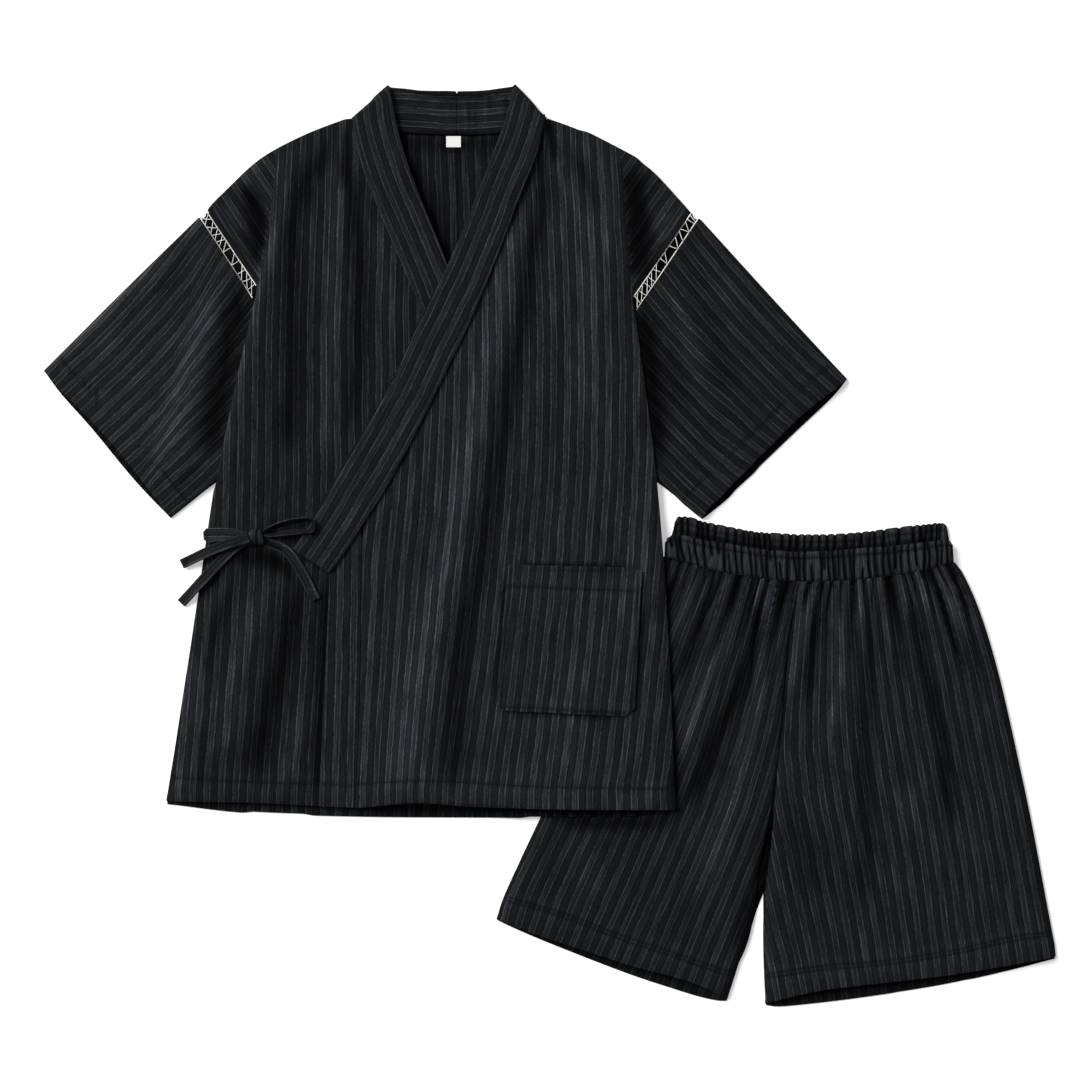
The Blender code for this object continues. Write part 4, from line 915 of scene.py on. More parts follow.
# painted shade on the shoulder cap beside the body's fold, and painted highlights on the cap
underCap = (
    PaintedShading(((-316, 396), (-317, 374), (-308, 342), (-304, 290)), (6, 13), -1.25),
    PaintedShading(((-296, 416), (-318, 400), (-340, 374)), (10, 10), 0.4),
    PaintedShading(((-344, 367), (-337, 349), (-326, 330)), (6, 5), 0.45),
    PaintedShading(((-330, 388), (-318, 362), (-312, 340)), (4, 4), -0.4),
    PaintedShading(((-322, 396), (-306, 378), (-296, 352)), (4, 4), 0.4),
)
underLook = dict(
    sided=((leftSide, -1, underCap),), tone=-0.15, eased=(leftFlank, leftShoulder),
    cut=dict(flat=(0.395, 0.732), area=0.195, held="laid", rests_on=["jacketBack"]), node="front_under",
    spacing=4.4, ripple=0.8, tones=underTones, stripes=cappedStripes(bodyLeft, leftSide, laceLeft, 1),
    breaks=(smoothLine(leftSide[:3], 4),), tucks=(Tuck(leftSide[:3], -1, 1.6, 5.0),),
    seams=(Seam(smoothLine(hemRow[:3], 6), 0.55, 1.5),),
    creases=(
        Crease((-327, 384), (-316, 345), (-305, 300), 8, -0.8),
        Crease((-210, 412), (-205, 352), (-194, 276), 6, -1.1),
        Crease((-262, 300), (-268, 220), (-270, 150), 9, 0.8),
        Crease((-243, 230), (-246, 130), (-244, 60), 8, -0.7),
        Crease((-296, 200), (-306, 110), (-314, 40), 8, 0.7),
        Crease((-322, 60), (-336, -20), (-344, -90), 9, 0.9),
        Crease((-300, -30), (-306, -90), (-318, -150), 7, -0.8),
    ),
)
frontUnder = finishedPiece(laidPanel, "frontUnder", underLook, jacketCotton)

# painted shading of the over front: shade beside the collar, in its long troughs and along its hem,
# highlights on its ridges
overTones = (
    PaintedShading(((-2, 453), (1, 440), (4.5, 424), (6, 402)), (4.5, 4), -1.2),
    PaintedShading(((6, 450), (8, 425), (9, 395)), (3, 3), 0.35),
    PaintedShading(((-4, 436), (-8, 412), (-14, 385)), (5, 5), -0.6),
    PaintedShading(
        (
            (-5, 409), (-10, 351), (-21, 298), (-26, 250), (-37, 197), (-47, 134), (-56, 81), (-68, 6),
            (-79, -47), (-95, -126), (-100, -200), (-103, -264),
        ),
        (8, 13), -0.75,
    ),
    PaintedShading(
        (
            (-29, 361), (-42, 319), (-52, 261), (-74, 160), (-87, 91), (-100, 22), (-119, -57),
            (-137, -126), (-148, -190), (-158, -264),
        ),
        (8, 18), 0.36,
    ),
    PaintedShading(((11, 404), (22, 367), (39, 324), (39, 240), (37, 123)), (8, 16), 0.28),
    PaintedShading(((24, 420), (41, 383), (49, 346)), (6, 5), -0.45),
    PaintedShading(((60, 409), (61, 367), (62, 293)), (7, 7), 0.3),
    PaintedShading(((-132, 81), (-139, 28), (-146, -57)), (7, 9), -0.18),
    PaintedShading(((11, 261), (7, 155), (-2, 49)), (6, 6), -0.15),
    PaintedShading(((96, 81), (104, -57), (112, -227)), (8, 8), 0.18),
    PaintedShading(((-158, -276), (-105, -278), (-10, -280)), (4, 4), -0.5),
)
# painted shade on the shoulder cap beside the body's fold, and painted highlights on the cap
overCap = (
    PaintedShading(((84, 415), (93, 345), (92, 271)), (14, 14), -1.5),
    PaintedShading(((113, 321), (118, 340), (129, 358)), (7, 7), 0.4),
    PaintedShading(((100, 384), (108, 362), (112, 340)), (4, 4), 0.35),
)
# the thin shade round the pocket, and lines of points that let it stay thin
pocketRound = (
    ((-45, -18.4), (98, -21.4)), ((99.6, -23), (91.8, -174)), ((88, -181.6), (-57, -176)),
    ((-45.8, -20), (-58.6, -174)),
)
pocketShade = tuple(PaintedShading(path, (1.5, 1.5), -0.75) for path in pocketRound)
pocketBreaks = [sideways(resample(path, 2), across) for path in pocketRound for across in (-1.2, 0, 1.2)]
overLook = dict(
    sided=((rightSide, 1, overCap),), tone=0.02, eased=(rightShoulder,),
    cut=dict(flat=(0.36, 0.737), area=0.187, held="laid", rests_on=["jacketBack", "frontUnder"]),
    node="front_over", spacing=4.4, ripple=0.8, tones=overTones + pocketShade,
    stripes=cappedStripes(bodyRight, rightSide, laceRight, -1),
    breaks=(smoothLine(rightSide[:3], 4), *pocketBreaks), tucks=(Tuck(rightSide[:3], 1, 1.6, 5.0),),
    seams=(Seam(smoothLine(hemRow[2:], 6), 0.55, 1.5),),
    creases=(
        Crease((-1, 449), (2, 440), (5, 430), 4, -1.5), Crease((28, 405), (36, 394), (44, 380), 7, -1.2),
        Crease((18, 380), (12, 300), (4, 210), 9, 0.7), Crease((-10, 240), (-24, 140), (-36, 40), 8, 0.6),
        Crease((82, 220), (88, 130), (94, 30), 9, -0.8), Crease((104, 120), (108, 20), (112, -80), 7, 0.7),
        Crease((70, 60), (80, -60), (86, -190), 11, -0.8),
        Crease((-150, 60), (-164, -40), (-172, -130), 9, -0.8),
        Crease((-185, -60), (-190, -150), (-192, -240), 7, 0.6),
        Crease((0, -190), (2, -230), (6, -268), 9, -0.7),
    ),
)
frontOver = finishedPiece(laidPanel, "frontOver", overLook, jacketCotton)

okumiLook = dict(node="okumi_over", spacing=3.6, ripple=0.35, stripes=bodyStripes(okumiRows, 6),
                 cut=dict(flat=(0.048, 0.306), area=0.0106, held="laid", rests_on=["frontUnder"]),
                 seams=(Seam(np.array(((-243, -252), (-206, -254))), 0.5, 1.5),))
okumiOver = finishedPiece(laidPanel, "okumiOver", okumiLook, jacketCotton)
print("jacket body laid")


def upperWall(points):
    # creases lie in the wall that faces up, not in the one on the floor
    return smoothstep((points[:, 2] - 2.2) / 2.2)


# painted shade on the sleeve beside the body's edge and in its troughs, and painted highlights on its ridges
leftSleeveTones = (
    PaintedShading(((-325, 290), (-334, 247), (-342, 205), (-352, 155), (-362, 112), (-379, 96)), (13, 13), -1.5),
    PaintedShading(((-347, 287), (-363, 253), (-388, 183), (-402, 134), (-420, 84)), (9, 12), 0.5),
    PaintedShading(((-381, 314), (-399, 285), (-423, 261)), (6, 8), -0.3),
    PaintedShading(((-394, 321), (-455, 263), (-524, 195)), (7, 7), 0.25),
    PaintedShading(((-400, 57), (-381, 75), (-362, 91)), (7, 7), -0.5),
    PaintedShading(((-445, 229), (-466, 208), (-498, 181)), (9, 9), 0.15),
)
# each sleeve's back wall shows behind the end of its openwork and is painted into shade, and the stripes step
# aside on its long ridge
sleeveLook = dict(ripple=0.9, free=upperWall, deep=(1.8, -0.75))
leftRidge = ((-345, 340), (-356, 314), (-379, 229), (-394, 165), (-418, 97), (-432, 60))
sleeveLeftLook = dict(
    sleeveLook, eased=(Ease(((-365.2, 358.3), (-350.7, 336.7)), -5.2, 6.4, 5),),
    cut=dict(flat=(0.42, 0.24), area=0.089, held="laid"), node="sleeve_left", tones=leftSleeveTones,
    stripes=sleeveStripes((-340, 312), -1, ((leftRidge, 15, 12),)),
    creases=(
        Crease((-352, 318), (-378, 268), (-380, 205), 10, 1.4),
        Crease((-372, 312), (-410, 262), (-432, 200), 10, -1.0),
        Crease((-330, 262), (-352, 215), (-362, 160), 9, -1.4),
        Crease((-400, 250), (-450, 215), (-490, 178), 11, 0.9),
        Crease((-330, 190), (-352, 140), (-376, 100), 9, 0.9),
        Crease((-395, 180), (-425, 140), (-450, 112), 9, -0.7),
    ),
    seams=(Seam(smoothLine(((-519, 199), (-472, 149), (-434, 108), (-386, 49)), 6), 0.5, 1.5),),
)
sleeveLeft = finishedPiece(softSolid, "sleeveLeft", sleeveLeftLook, sleeveCotton)

# painted shade on the sleeve beside the body's edge and in its troughs, and painted highlights on its ridges
rightSleeveTones = (
    PaintedShading(((96, 261), (103, 211), (110, 147), (116, 83)), (11, 10), -1.5),
    PaintedShading(((120, 218), (130, 181), (140, 134)), (12, 12), -0.35),
    PaintedShading(((122, 290), (142, 240), (154, 190), (165, 155)), (7, 8), 0.5),
    PaintedShading(((168, 229), (181, 192), (196, 155)), (9, 10), -0.3),
    PaintedShading(((160, 301), (207, 250), (266, 197)), (10, 10), 0.12),
)
rightRidge = ((104, 300), (117, 280), (145, 246), (174, 174), (192, 120), (212, 60))
sleeveRightLook = dict(
    sleeveLook,
    eased=(
        Ease(((168, 46), (182, 56), (222, 88)), 1.1, -1.5, 6),
        Ease(((136, 56), (150, 43), (162, 32), (176, 43), (198, 62)), 0, -2.3, 6),
        Ease(((152.3, 357.3), (137.5, 335.9)), 5.3, 6.3, 5),
    ),
    cut=dict(flat=(0.42, 0.24), area=0.09, held="laid"), node="sleeve_right", tone=-0.24,
    tones=rightSleeveTones, stripes=sleeveStripes((119, 309), 1, ((rightRidge, 14, -5),)),
    creases=(
        Crease((122, 308), (128, 262), (146, 196), 9, 1.5),
        Crease((138, 322), (160, 270), (190, 222), 10, -1.0),
        Crease((104, 258), (112, 200), (130, 140), 9, -1.4),
        Crease((176, 292), (214, 240), (252, 190), 11, 0.9),
        Crease((120, 170), (138, 128), (160, 92), 9, 0.9),
        Crease((190, 190), (214, 150), (240, 122), 9, -0.7),
    ),
    seams=(Seam(smoothLine(((297, 191), (257, 159), (218, 123), (169, 76), (143, 49)), 6), 0.5, 1.5),),
)
sleeveRight = finishedPiece(softSolid, "sleeveRight", sleeveRightLook, sleeveCotton)

# Collar: one long band, folded over itself at the back of the neck
overBand = (
    (-20, 470), (-25.5, 449), (-33.5, 423), (-52.5, 375.5), (-86.5, 288.5), (-118.5, 222), (-155, 146.5),
    (-191, 82.5), (-224, 27), (-252, -16),
)
underBand = (
    (-190, 470), (-188.5, 454.5), (-182.5, 428), (-168, 384.5), (-130.5, 295), (-105, 229), (-58, 110),
    (1.5, -5.5),
)
backBand = ((-230, 461), (-161, 461), (-98, 458), (-47, 461), (10, 469))


# the back of the collar lies lower than its folds and above this line
backCollar = dict(above=425, below=5.2)


def collarStripes(front, side, inwards):
    # the back of the collar, above the fold beside the neck, runs level
    frontStripes, backStripes = bandStripes(front, shift=-2), bandStripes(backBand, shift=5)

    def stripesAt(points, centres):
        x, y, z = centres.T
        behind = (z < backCollar["below"]) & (y > backCollar["above"]) & ((x - side) * inwards > 0)
        u, v = frontStripes(points, centres)
        backU, backV = backStripes(points, centres)
        return np.where(behind, backU, u), np.where(behind, backV + 900, v)
    return stripesAt


neckRise = ((-192, -140, -108, -88, -62, -20), (2.9, 1.6, 4.1, 4.1, 3.4, 2.9))


def bandRaised(points):
    # the back of the band stands a little higher against the neck than its solid
    x, y, z = points.T
    inside = smoothstep((x + 192) / 8) * smoothstep((-8 - x) / 8)
    rise = np.interp(x, *neckRise)
    return rise * inside * smoothstep((y - 452) / 24) * smoothstep((6.0 - z) / 1.5)


# painted shade and highlights of puckers behind the neck: where, their top, how far down they reach and their
# tone
wrinkleRows = (
    (-135, 476, 22, -0.5), (-123, 475, 12, 0.35), (-113, 474, 26, -0.35), (-91, 474, 30, 0.4),
    (-86, 474, 34, -0.4), (-78, 475, 36, -0.35), (-68, 476, 30, 0.35), (-63, 478, 20, -0.6),
    (-52, 480, 24, 0.35), (-46, 480, 26, -0.7), (-156, 480, 16, -0.3),
)
wrinkleLuck = np.random.default_rng(8)
neckWrinkleShading = []
for place, top, reach, amount in wrinkleRows:
    lean = wrinkleLuck.uniform(-3, 3)
    neckWrinkleShading.append(PaintedShading(((place, top), (place + lean, top - reach)), (1.3, 1.3), amount))
# painted shade along the top of the collar's back and along the neck seam
neckWrinkleShading.append(PaintedShading(((-165, 484), (-98, 477.5), (-40, 482)), (1.6, 1.6), -0.7))
neckWrinkleShading.append(PaintedShading(((-160, 440.5), (-98, 438), (-50, 440.5)), (1.5, 1.5), -0.5))

collarLook = dict(tone=-0.06, tones=neckWrinkleShading, drawn=bandRaised, ripple=0.25, sharp=58, crisp=0.75)
collarUnderLook = dict(
    collarLook, node="collar_under", stripes=collarStripes(underBand, -169, 1),
    cut=dict(flat=(0.054, 0.55), held="folded", rests_on=["frontUnder", "jacketBack"]),
)
finishedPiece(softSolid, "collarUnder", collarUnderLook, collarCotton)
collarOverLook = dict(
    collarLook, node="collar_over", stripes=collarStripes(overBand, -40, -1),
    cut=dict(flat=(0.054, 0.58), held="folded", rests_on=["frontOver", "jacketBack"]),
    allowances=((((-100, 437), (-100, 481)), -4, 4),),
)
finishedPiece(softSolid, "collarOver", collarOverLook, collarCotton)

# Pocket
pocketTop = ((-40, -23.4), (92, -26.8))
pocketLook = dict(
    cut=dict(flat=(0.154, 0.16), held="laid", rests_on=["frontOver"]), node="pocket", spacing=3.6,
    # the over front's painted shading goes on over the pocket, with a line of painted shade along its top
    # edge
    tone=-0.03, tones=(*overTones, PaintedShading(pocketTop, (1.3, 1.3), -0.6)), creases=overLook["creases"],
    breaks=[sideways(resample(pocketTop, 3), across) for across in (-1.4, -2.8)], ripple=0.5, settled=0.5,
    stripes=bodyStripes(bodyRight, 4.2),
    seams=(
        Seam(np.array(((-46, -42.5), (97, -48))), 0.5, 1.4),
        Seam(np.array(((-40.5, -24), (-52.5, -171))), 0.4, 1.4),
        Seam(np.array(((94, -27), (86, -172))), 0.4, 1.4),
        Seam(np.array(((-52, -170), (83, -176))), 0.4, 1.4),
    ),
)
pocket = finishedPiece(laidPanel, "patchPocket", pocketLook, collarCotton)


# Ties: narrow folded tapes, knotted in a bow
def tapeTones(run):
    # painted highlights where the folded edges catch light and along the middle, and painted shade where the
    # rows of stitches beside the edges sink
    line = smoothLine(run, 3)
    edges = [PaintedShading(sideways(line, across), (0.7, 0.7), 0.75) for across in (-4.2, 4.2)]
    rows = [PaintedShading(sideways(line, across), (0.7, 0.7), -0.7) for across in (-2.9, 2.9)]
    return (*edges, *rows, PaintedShading(line, (0.9, 0.9), 0.2))


tiltShare = 20      # tilts are scaled down on the way, so that they hardly count in the length of a step


def sweptTape(name, look):
    # a soft tape swept along rows of x, y, z, width and tilt in degrees, thick enough to look folded
    rows = np.array(look["rows"], float)
    rows[:, 4] /= tiltShare
    path = smoothLine(rows, 1.3)
    centres = path[:, :3]
    turns = 2 * math.pi * (np.arange(14) + 0.5) / 14
    wide = np.sign(np.cos(turns)) * np.abs(np.cos(turns)) ** look["square"]
    high = np.sign(np.sin(turns)) * np.abs(np.sin(turns)) ** look["square"]
    shape = bmesh.new()
    rings = []
    for at, centre in enumerate(centres):
        run = centres[min(at + 1, len(centres) - 1)] - centres[max(at - 1, 0)]
        run /= np.linalg.norm(run)
        side = np.array(look["side"], float) if "side" in look else np.cross((0, 0, 1), run)
        side -= (side @ run) * run
        side /= np.linalg.norm(side)
        rise = np.cross(run, side)
        tilt = math.radians(path[at, 4] * tiltShare)
        turned = side * math.cos(tilt) + rise * math.sin(tilt)
        rise = rise * math.cos(tilt) - side * math.sin(tilt)
        closing = min(1, 0.55 + 0.15 * min(at, len(centres) - 1 - at))      # the ends draw in
        across, up = 0.5 * path[at, 3] * wide[:, None] * turned, 0.5 * look["thick"] * high[:, None] * rise
        rings.append([shape.verts.new(point * mm) for point in centre + closing * (across + up)])
    loftedRings(shape, rings)
    bmesh.ops.recalc_face_normals(shape, faces=shape.faces[:])
    return linkedObject(name, meshOf(shape, name))


# a tie: its node, its length, its run, and its own painted shade and highlights
Tie = namedtuple("Tie", "node length run shades")
tieTable = dict(
    tieTailLeft=Tie(
        "tie_tail_left", 0.105, ((-319, 7), (-329, 2), (-342.5, -9.5), (-363, -31), (-391.5, -61)),
        (PaintedShading(((-322, 11), (-336, 4), (-350, -8)), (2.5, 2), -0.9),)),
    tieTailRight=Tie(
        "tie_tail_right", 0.087, ((-302, 5), (-280, -4), (-266, -22), (-247.5, -57)),
        (PaintedShading(((-300, 4), (-290, -1), (-281, -4)), (1.6, 1.2), -1.1),
         PaintedShading(((-259, -48), (-253, -45), (-246, -47)), (1.0, 1.0), 0.6))),
    tieLoopLeft=Tie(
        "tie_loop_left", 0.16, ((-318, 9), (-338, 3), (-357, -4), (-374, -11.5), (-389, -18.5)),
        (PaintedShading(((-322, 5), (-340, -4), (-352, -9)), (1.6, 1.6), -0.7),
         PaintedShading(((-384, -12), (-388, -24)), (1.0, 1.0), -0.6))),
)
ties = []
for name, tie in tieTable.items():
    tieLook = dict(
        node=tie.node, ripple=0, sharp=50, crisp=0.45, tone=0.1, tones=tapeTones(tie.run) + tie.shades,
        stripes=bandStripes(tie.run, shift=1.4),
        cut=dict(flat=(0.0105, tie.length), held="folded", rests_on=["frontUnder"]),
    )
    ties.append(finishedPiece(softSolid, name, tieLook, collarCotton))

# the strand from the side seam is two layers of tape, the lower one showing past its edge
strandRun = ((-318, 11.5), (-335, 13), (-352, 13.3), (-367, 12.4))
strandLook = dict(
    cut=dict(flat=(0.015, 0.05), held="folded", rests_on=["frontUnder"]), node="tie_strand_side",
    thick=1.5, square=0.5, stripes=bandStripes(strandRun, shift=1.4), tone=0.1,
    # painted highlights along the tape's upper edge, its middle and the lower layer's edge, and painted shade
    # under its edge and across its end
    tones=(
        PaintedShading(((-320, 14.3), (-335, 17.6), (-352, 18.5), (-366, 17.7)), (0.9, 0.9), 0.6),
        PaintedShading(((-322, 12.2), (-337, 13.6), (-352, 13.4), (-364, 12.2)), (0.9, 0.9), 0.3),
        PaintedShading(((-326, 10.4), (-338, 9.6), (-352, 8.6), (-363, 8.4)), (1.0, 1.0), -0.9),
        PaintedShading(((-362, 17), (-364, 10), (-362, 4.5)), (0.9, 0.9), -0.6),
        PaintedShading(((-332, 8.2), (-350, 5.6), (-362, 4.6)), (0.9, 0.9), 0.4),
    ),
    rows=(
        (-318, 11.5, 11.6, 6, 4), (-326, 12.2, 11.7, 9, 4), (-338, 12.6, 11.4, 12.4, 3),
        (-352, 12.0, 10.3, 14.4, 2), (-362, 11.2, 8.9, 15.4, 0), (-367, 10.8, 8.3, 15, 0),
    ),
)
ties.append(finishedPiece(sweptTape, "tieStrand", strandLook, collarCotton))

loopRun = ((-304, 12.5), (-282, 23.5), (-254, 28), (-249, 21), (-254, 16.3), (-278, 14.3), (-303, 11.5))
loopLook = dict(
    cut=dict(flat=(0.0105, 0.115), held="folded", rests_on=["frontUnder"]), node="tie_loop_right",
    thick=1.5, square=0.6, stripes=bandStripes(loopRun, shift=1.4), tone=0.1,
    # painted highlights along both strands of the loop, and painted shade where it leaves the knot
    tones=(
        PaintedShading(((-298, 21), (-282, 26), (-262, 30), (-252, 29)), (1.0, 1.0), 0.5),
        PaintedShading(((-298, 11), (-278, 17), (-262, 18)), (1.0, 1.0), 0.4),
        PaintedShading(((-300, 13), (-294, 14), (-286, 16)), (2, 1.5), -1.0),
    ),
    rows=(
        (-304, 12.5, 15.2, 7, 48), (-296, 18, 16.0, 9, 55), (-282, 23.5, 16.6, 10, 58),
        (-265, 27, 16.6, 10, 58), (-254.5, 28, 16.6, 10, 66), (-250, 25.5, 16.5, 10, 78),
        (-249, 21, 16.4, 10, 80), (-251, 17, 16.3, 10, 66), (-260, 16, 16.0, 10, 58),
        (-278, 14.3, 15.6, 10, 55), (-292, 12.8, 15.2, 9, 50), (-303, 11.5, 14.8, 7, 45),
    ),
)
ties.append(finishedPiece(sweptTape, "tieLoopRight", loopLook, collarCotton))


def wrappedKnot(name, look):
    # turns of tape round the knot, from under one side over to the other
    shape = bmesh.new()
    arc = np.radians(np.linspace(-28, 208, 9))
    for wrap in look["wraps"]:
        middle, reach = 0.5 * (wrap.low + wrap.high), 0.5 * (wrap.high - wrap.low)
        rows = [(wrap.x + wrap.lean * math.cos(turn), middle - reach * math.cos(turn),
                 12.2 + (wrap.top - 13.5) * math.sin(turn), wrap.width, 0) for turn in arc]
        turned = sweptTape("turn", dict(look, rows=rows))
        shape.from_mesh(turned.data)
        bpy.data.objects.remove(turned)
    return linkedObject(name, meshOf(shape, name))


# The knot: the tape goes round three times, the last turn leaning and bulging
Wrap = namedtuple("Wrap", "x lean width low high top")
knotLook = dict(
    node="tie_knot", thick=2.7, square=0.8, side=(1, 0, 0), tone=0.1,
    wraps=(
        Wrap(-315.3, -0.6, 6.4, 3.0, 16.9, 17.7), Wrap(-311.2, 0.2, 4.4, 2.4, 17.4, 18.3),
        Wrap(-306.7, 1.6, 7.0, 1.6, 17.2, 18.8),
    ),
    cut=dict(flat=(0.0105, 0.05), held="folded", rests_on=["frontUnder"]),
    stripes=bandStripes(((-310, -8), (-310, 30)), shift=2.2),
    # painted shade in the grooves between the turns, and painted highlights on their edges
    tones=(
        PaintedShading(((-313, 0), (-313, 20)), (0.8, 0.8), -1.0),
        PaintedShading(((-309.4, 0), (-309.9, 20)), (0.8, 0.8), -1.0),
        PaintedShading(((-315.6, 2), (-315.6, 18)), (0.7, 0.7), 0.5),
        PaintedShading(((-306.4, 2), (-307.6, 18)), (0.8, 0.8), 0.45),
    ),
)
finishedPiece(wrappedKnot, "tieKnot", knotLook, collarCotton)
print("collar, pocket and ties made")

# Shorts
riseSeam = ((266, -38), (260, -61), (252, -108), (249, -170), (240, -232), (238, -281))
bandSeam = (
    (122, -11), (142, -16), (176, -26), (211, -32), (257, -37), (303, -37), (349, -33), (395, -26),
    (429, -17),
)
# painted shade along the rise seam, and the painted shading of each leg's folds: lighter on their crests,
# darker in their troughs
riseShade = PaintedShading(((265, -40), *riseSeam[1:]), (1.6, 1.6), -0.8)
leftLegTones = (
    riseShade,
    PaintedShading(((156, -45), (147, -73), (135, -105)), (3.5, 3.5), 0.52),
    PaintedShading(((168, -47), (151, -105), (133, -155)), (4, 5), -0.87),
    PaintedShading(((199, -45), (186, -100), (167, -142), (149, -190), (138, -232)), (5, 7), 0.58),
    PaintedShading(((219, -45), (215, -105), (197, -158), (175, -206), (156, -253), (142, -285)), (5, 9), -1.17),
    PaintedShading(((232, -45), (227, -68)), (2.5, 3), 0.42),
    PaintedShading(((246, -49), (234, -100), (220, -163), (202, -237), (181, -312), (160, -375)), (5, 12), 0.48),
    PaintedShading(((219, -365), (207, -396), (195, -434)), (8, 7), -0.59),
    PaintedShading(((130, -163), (131, -227), (134, -276)), (5, 6), -1.02),
    PaintedShading(((-5, -290), (54, -295), (138, -293)), (7, 7), -0.77),
    PaintedShading(((54, -312), (38, -365), (22, -396)), (12, 12), 0.1),
    PaintedShading(((126, -15), (122, -78), (126, -163)), (6, 5), -1.02),
)
# the right leg's painted shading of its folds
rightLegTones = (
    riseShade,
    PaintedShading(((258, -47), (251, -105), (243, -153)), (3.5, 4), -0.87),
    PaintedShading(((274, -45), (266, -89), (257, -137), (250, -169)), (4, 5), 0.68),
    PaintedShading(((288, -49), (278, -110), (272, -179)), (5, 5), -1.04),
    PaintedShading(((304, -57), (308, -121), (305, -163), (291, -216)), (4, 7), 0.48),
    PaintedShading(((321, -45), (324, -91)), (3, 3.5), 0.58),
    PaintedShading(((338, -45), (340, -110), (334, -179), (331, -248), (334, -322), (331, -391)), (6, 11), -0.41),
    PaintedShading(((363, -49), (366, -116)), (5, 5), 0.36),
    PaintedShading(((377, -47), (393, -110), (409, -174), (419, -227), (425, -301)), (5, 8), -0.8),
    PaintedShading(((391, -34), (403, -66)), (4, 4), 0.48),
    PaintedShading(((405, -36), (425, -89), (443, -137)), (4, 4), -0.72),
    PaintedShading(((419, -31), (435, -63), (453, -105)), (6, 7), 0.36),
    PaintedShading(((241, -200), (246, -264)), (5, 4), 0.28),
    PaintedShading(((253, -269), (271, -322), (292, -386)), (14, 20), -0.35),
    PaintedShading(((234, -439), (239, -465)), (8, 8), 0.14),
    PaintedShading(((377, -248), (387, -322)), (10, 10), 0.14),
)
leftPleats = (
    Crease((244, -57), (205, -150), (160, -269), 10, 1.1),
    Crease((160, -44), (120, -120), (80, -200), 10, 0.9),
    Crease((120, -180), (80, -270), (30, -370), 12, 0.9),
    Crease((150, -240), (118, -320), (84, -410), 12, -0.9),
)
rightPleats = (
    Crease((276, -57), (286, -140), (297, -227), 9, 1.1),
    Crease((350, -57), (345, -170), (340, -375), 9, -1.3),
    Crease((410, -110), (440, -230), (470, -375), 14, 1.0),
    Crease((320, -150), (330, -270), (345, -420), 12, 0.9),
    Crease((440, -90), (465, -170), (480, -250), 8, -0.8),
)
outerLeft, outerRight = leftLeg[0][1][:5], rightLeg[2][1][1:7]


# how long the troughs under the band are, and how many are
gatherLengths = (34, 50, 66, 96, 130)
gatherOdds = (0.2, 0.2, 0.2, 0.25, 0.15)


def legGathers(inner, outer, count, seed):
    # troughs that fan down from the band, each with its own place, depth, length and painted shade
    luck = np.random.default_rng(seed)
    inner, outer, band = smoothLine(inner, 6), smoothLine(outer, 6), np.array(bandSeam, float)
    found = []
    for at in range(1, count):
        share = (at + luck.uniform(-0.28, 0.28)) / count
        lean = luck.uniform(-0.0004, 0.0004)
        length = luck.choice(gatherLengths, p=gatherOdds) * luck.uniform(0.85, 1.15)
        start = xOn(inner, -32) + share * (xOn(outer, -32) - xOn(inner, -32))
        top = np.interp(start, band[:, 0], band[:, 1])
        y = top - np.linspace(1.2, length, 12)
        x = xOn(inner, y) + (share + lean * (top - y)) * (xOn(outer, y) - xOn(inner, y))
        strength = luck.uniform(0.6, 1.15)
        width = luck.uniform(1.7, 2.6) if length < 70 else luck.uniform(3.0, 4.6)
        found.append(Gather(np.column_stack([x, y]), 2.1 * strength, width, 1.9 * strength))
    return tuple(found)


def hemSeams(hem):
    # two rows of stitches along a hem
    return tuple(Seam(sideways(smoothLine(hem, 5), shift), 0.35, 1.0) for shift in (-2.1, 2.1))


leftHem = ((-45.6, -374.2), (12.8, -391.1), (77.9, -415.5), (132.0, -433.5), (194.5, -455.3))
rightHem = ((226.9, -456.9), (291.0, -447.3), (357.8, -441.6), (425.1, -431.4), (491.9, -416.6),
            (533.2, -411.3))
crotch = (
    (238, -281), (235, -310), (233.5, -320), (229, -345), (225.5, -361), (219.8, -375), (214.6, -389),
    (210, -404),
)
innerLeft = Ease(((232, -350), (225, -376), (215, -406), (204, -438)), 3.4, 0, 7)
backHemLeft = Ease(((-60, -391), (20, -425), (110, -461), (192, -485)), -0.5, -1.7, 6)
backHemRight = Ease(((229, -489), (291, -479), (370, -467)), 0, -1.5, 6)
backHemCorner = Ease(((440, -456), (490, -446), (550, -433)), 0, -1.4, 6)
rightFlank = Ease(
    ((432, -16), (446, -46), (462, -89), (478, -145), (490, -201), (504, -263), (520, -340), (539, -440)),
    1.7, 0.2, 6,
)
crotchShade = PaintedShading(((238, -285), (232, -325), (226, -368), (212, -410)), (9, 7), -1.5)
hemShadeLeft = PaintedShading(((-56, -400), (34, -428), (132, -459), (189, -482)), (12, 12), -0.75)
hemShadeRight = PaintedShading(((229, -488), (291, -474), (425, -458), (537, -437)), (12, 12), -0.75)
backLegLook = dict(spacing=6.0, ripple=0.5, settled=0.1)
frontLegLook = dict(pleated=True, spacing=3.8, ripple=0.7, settled=0.5, wall=1.3)
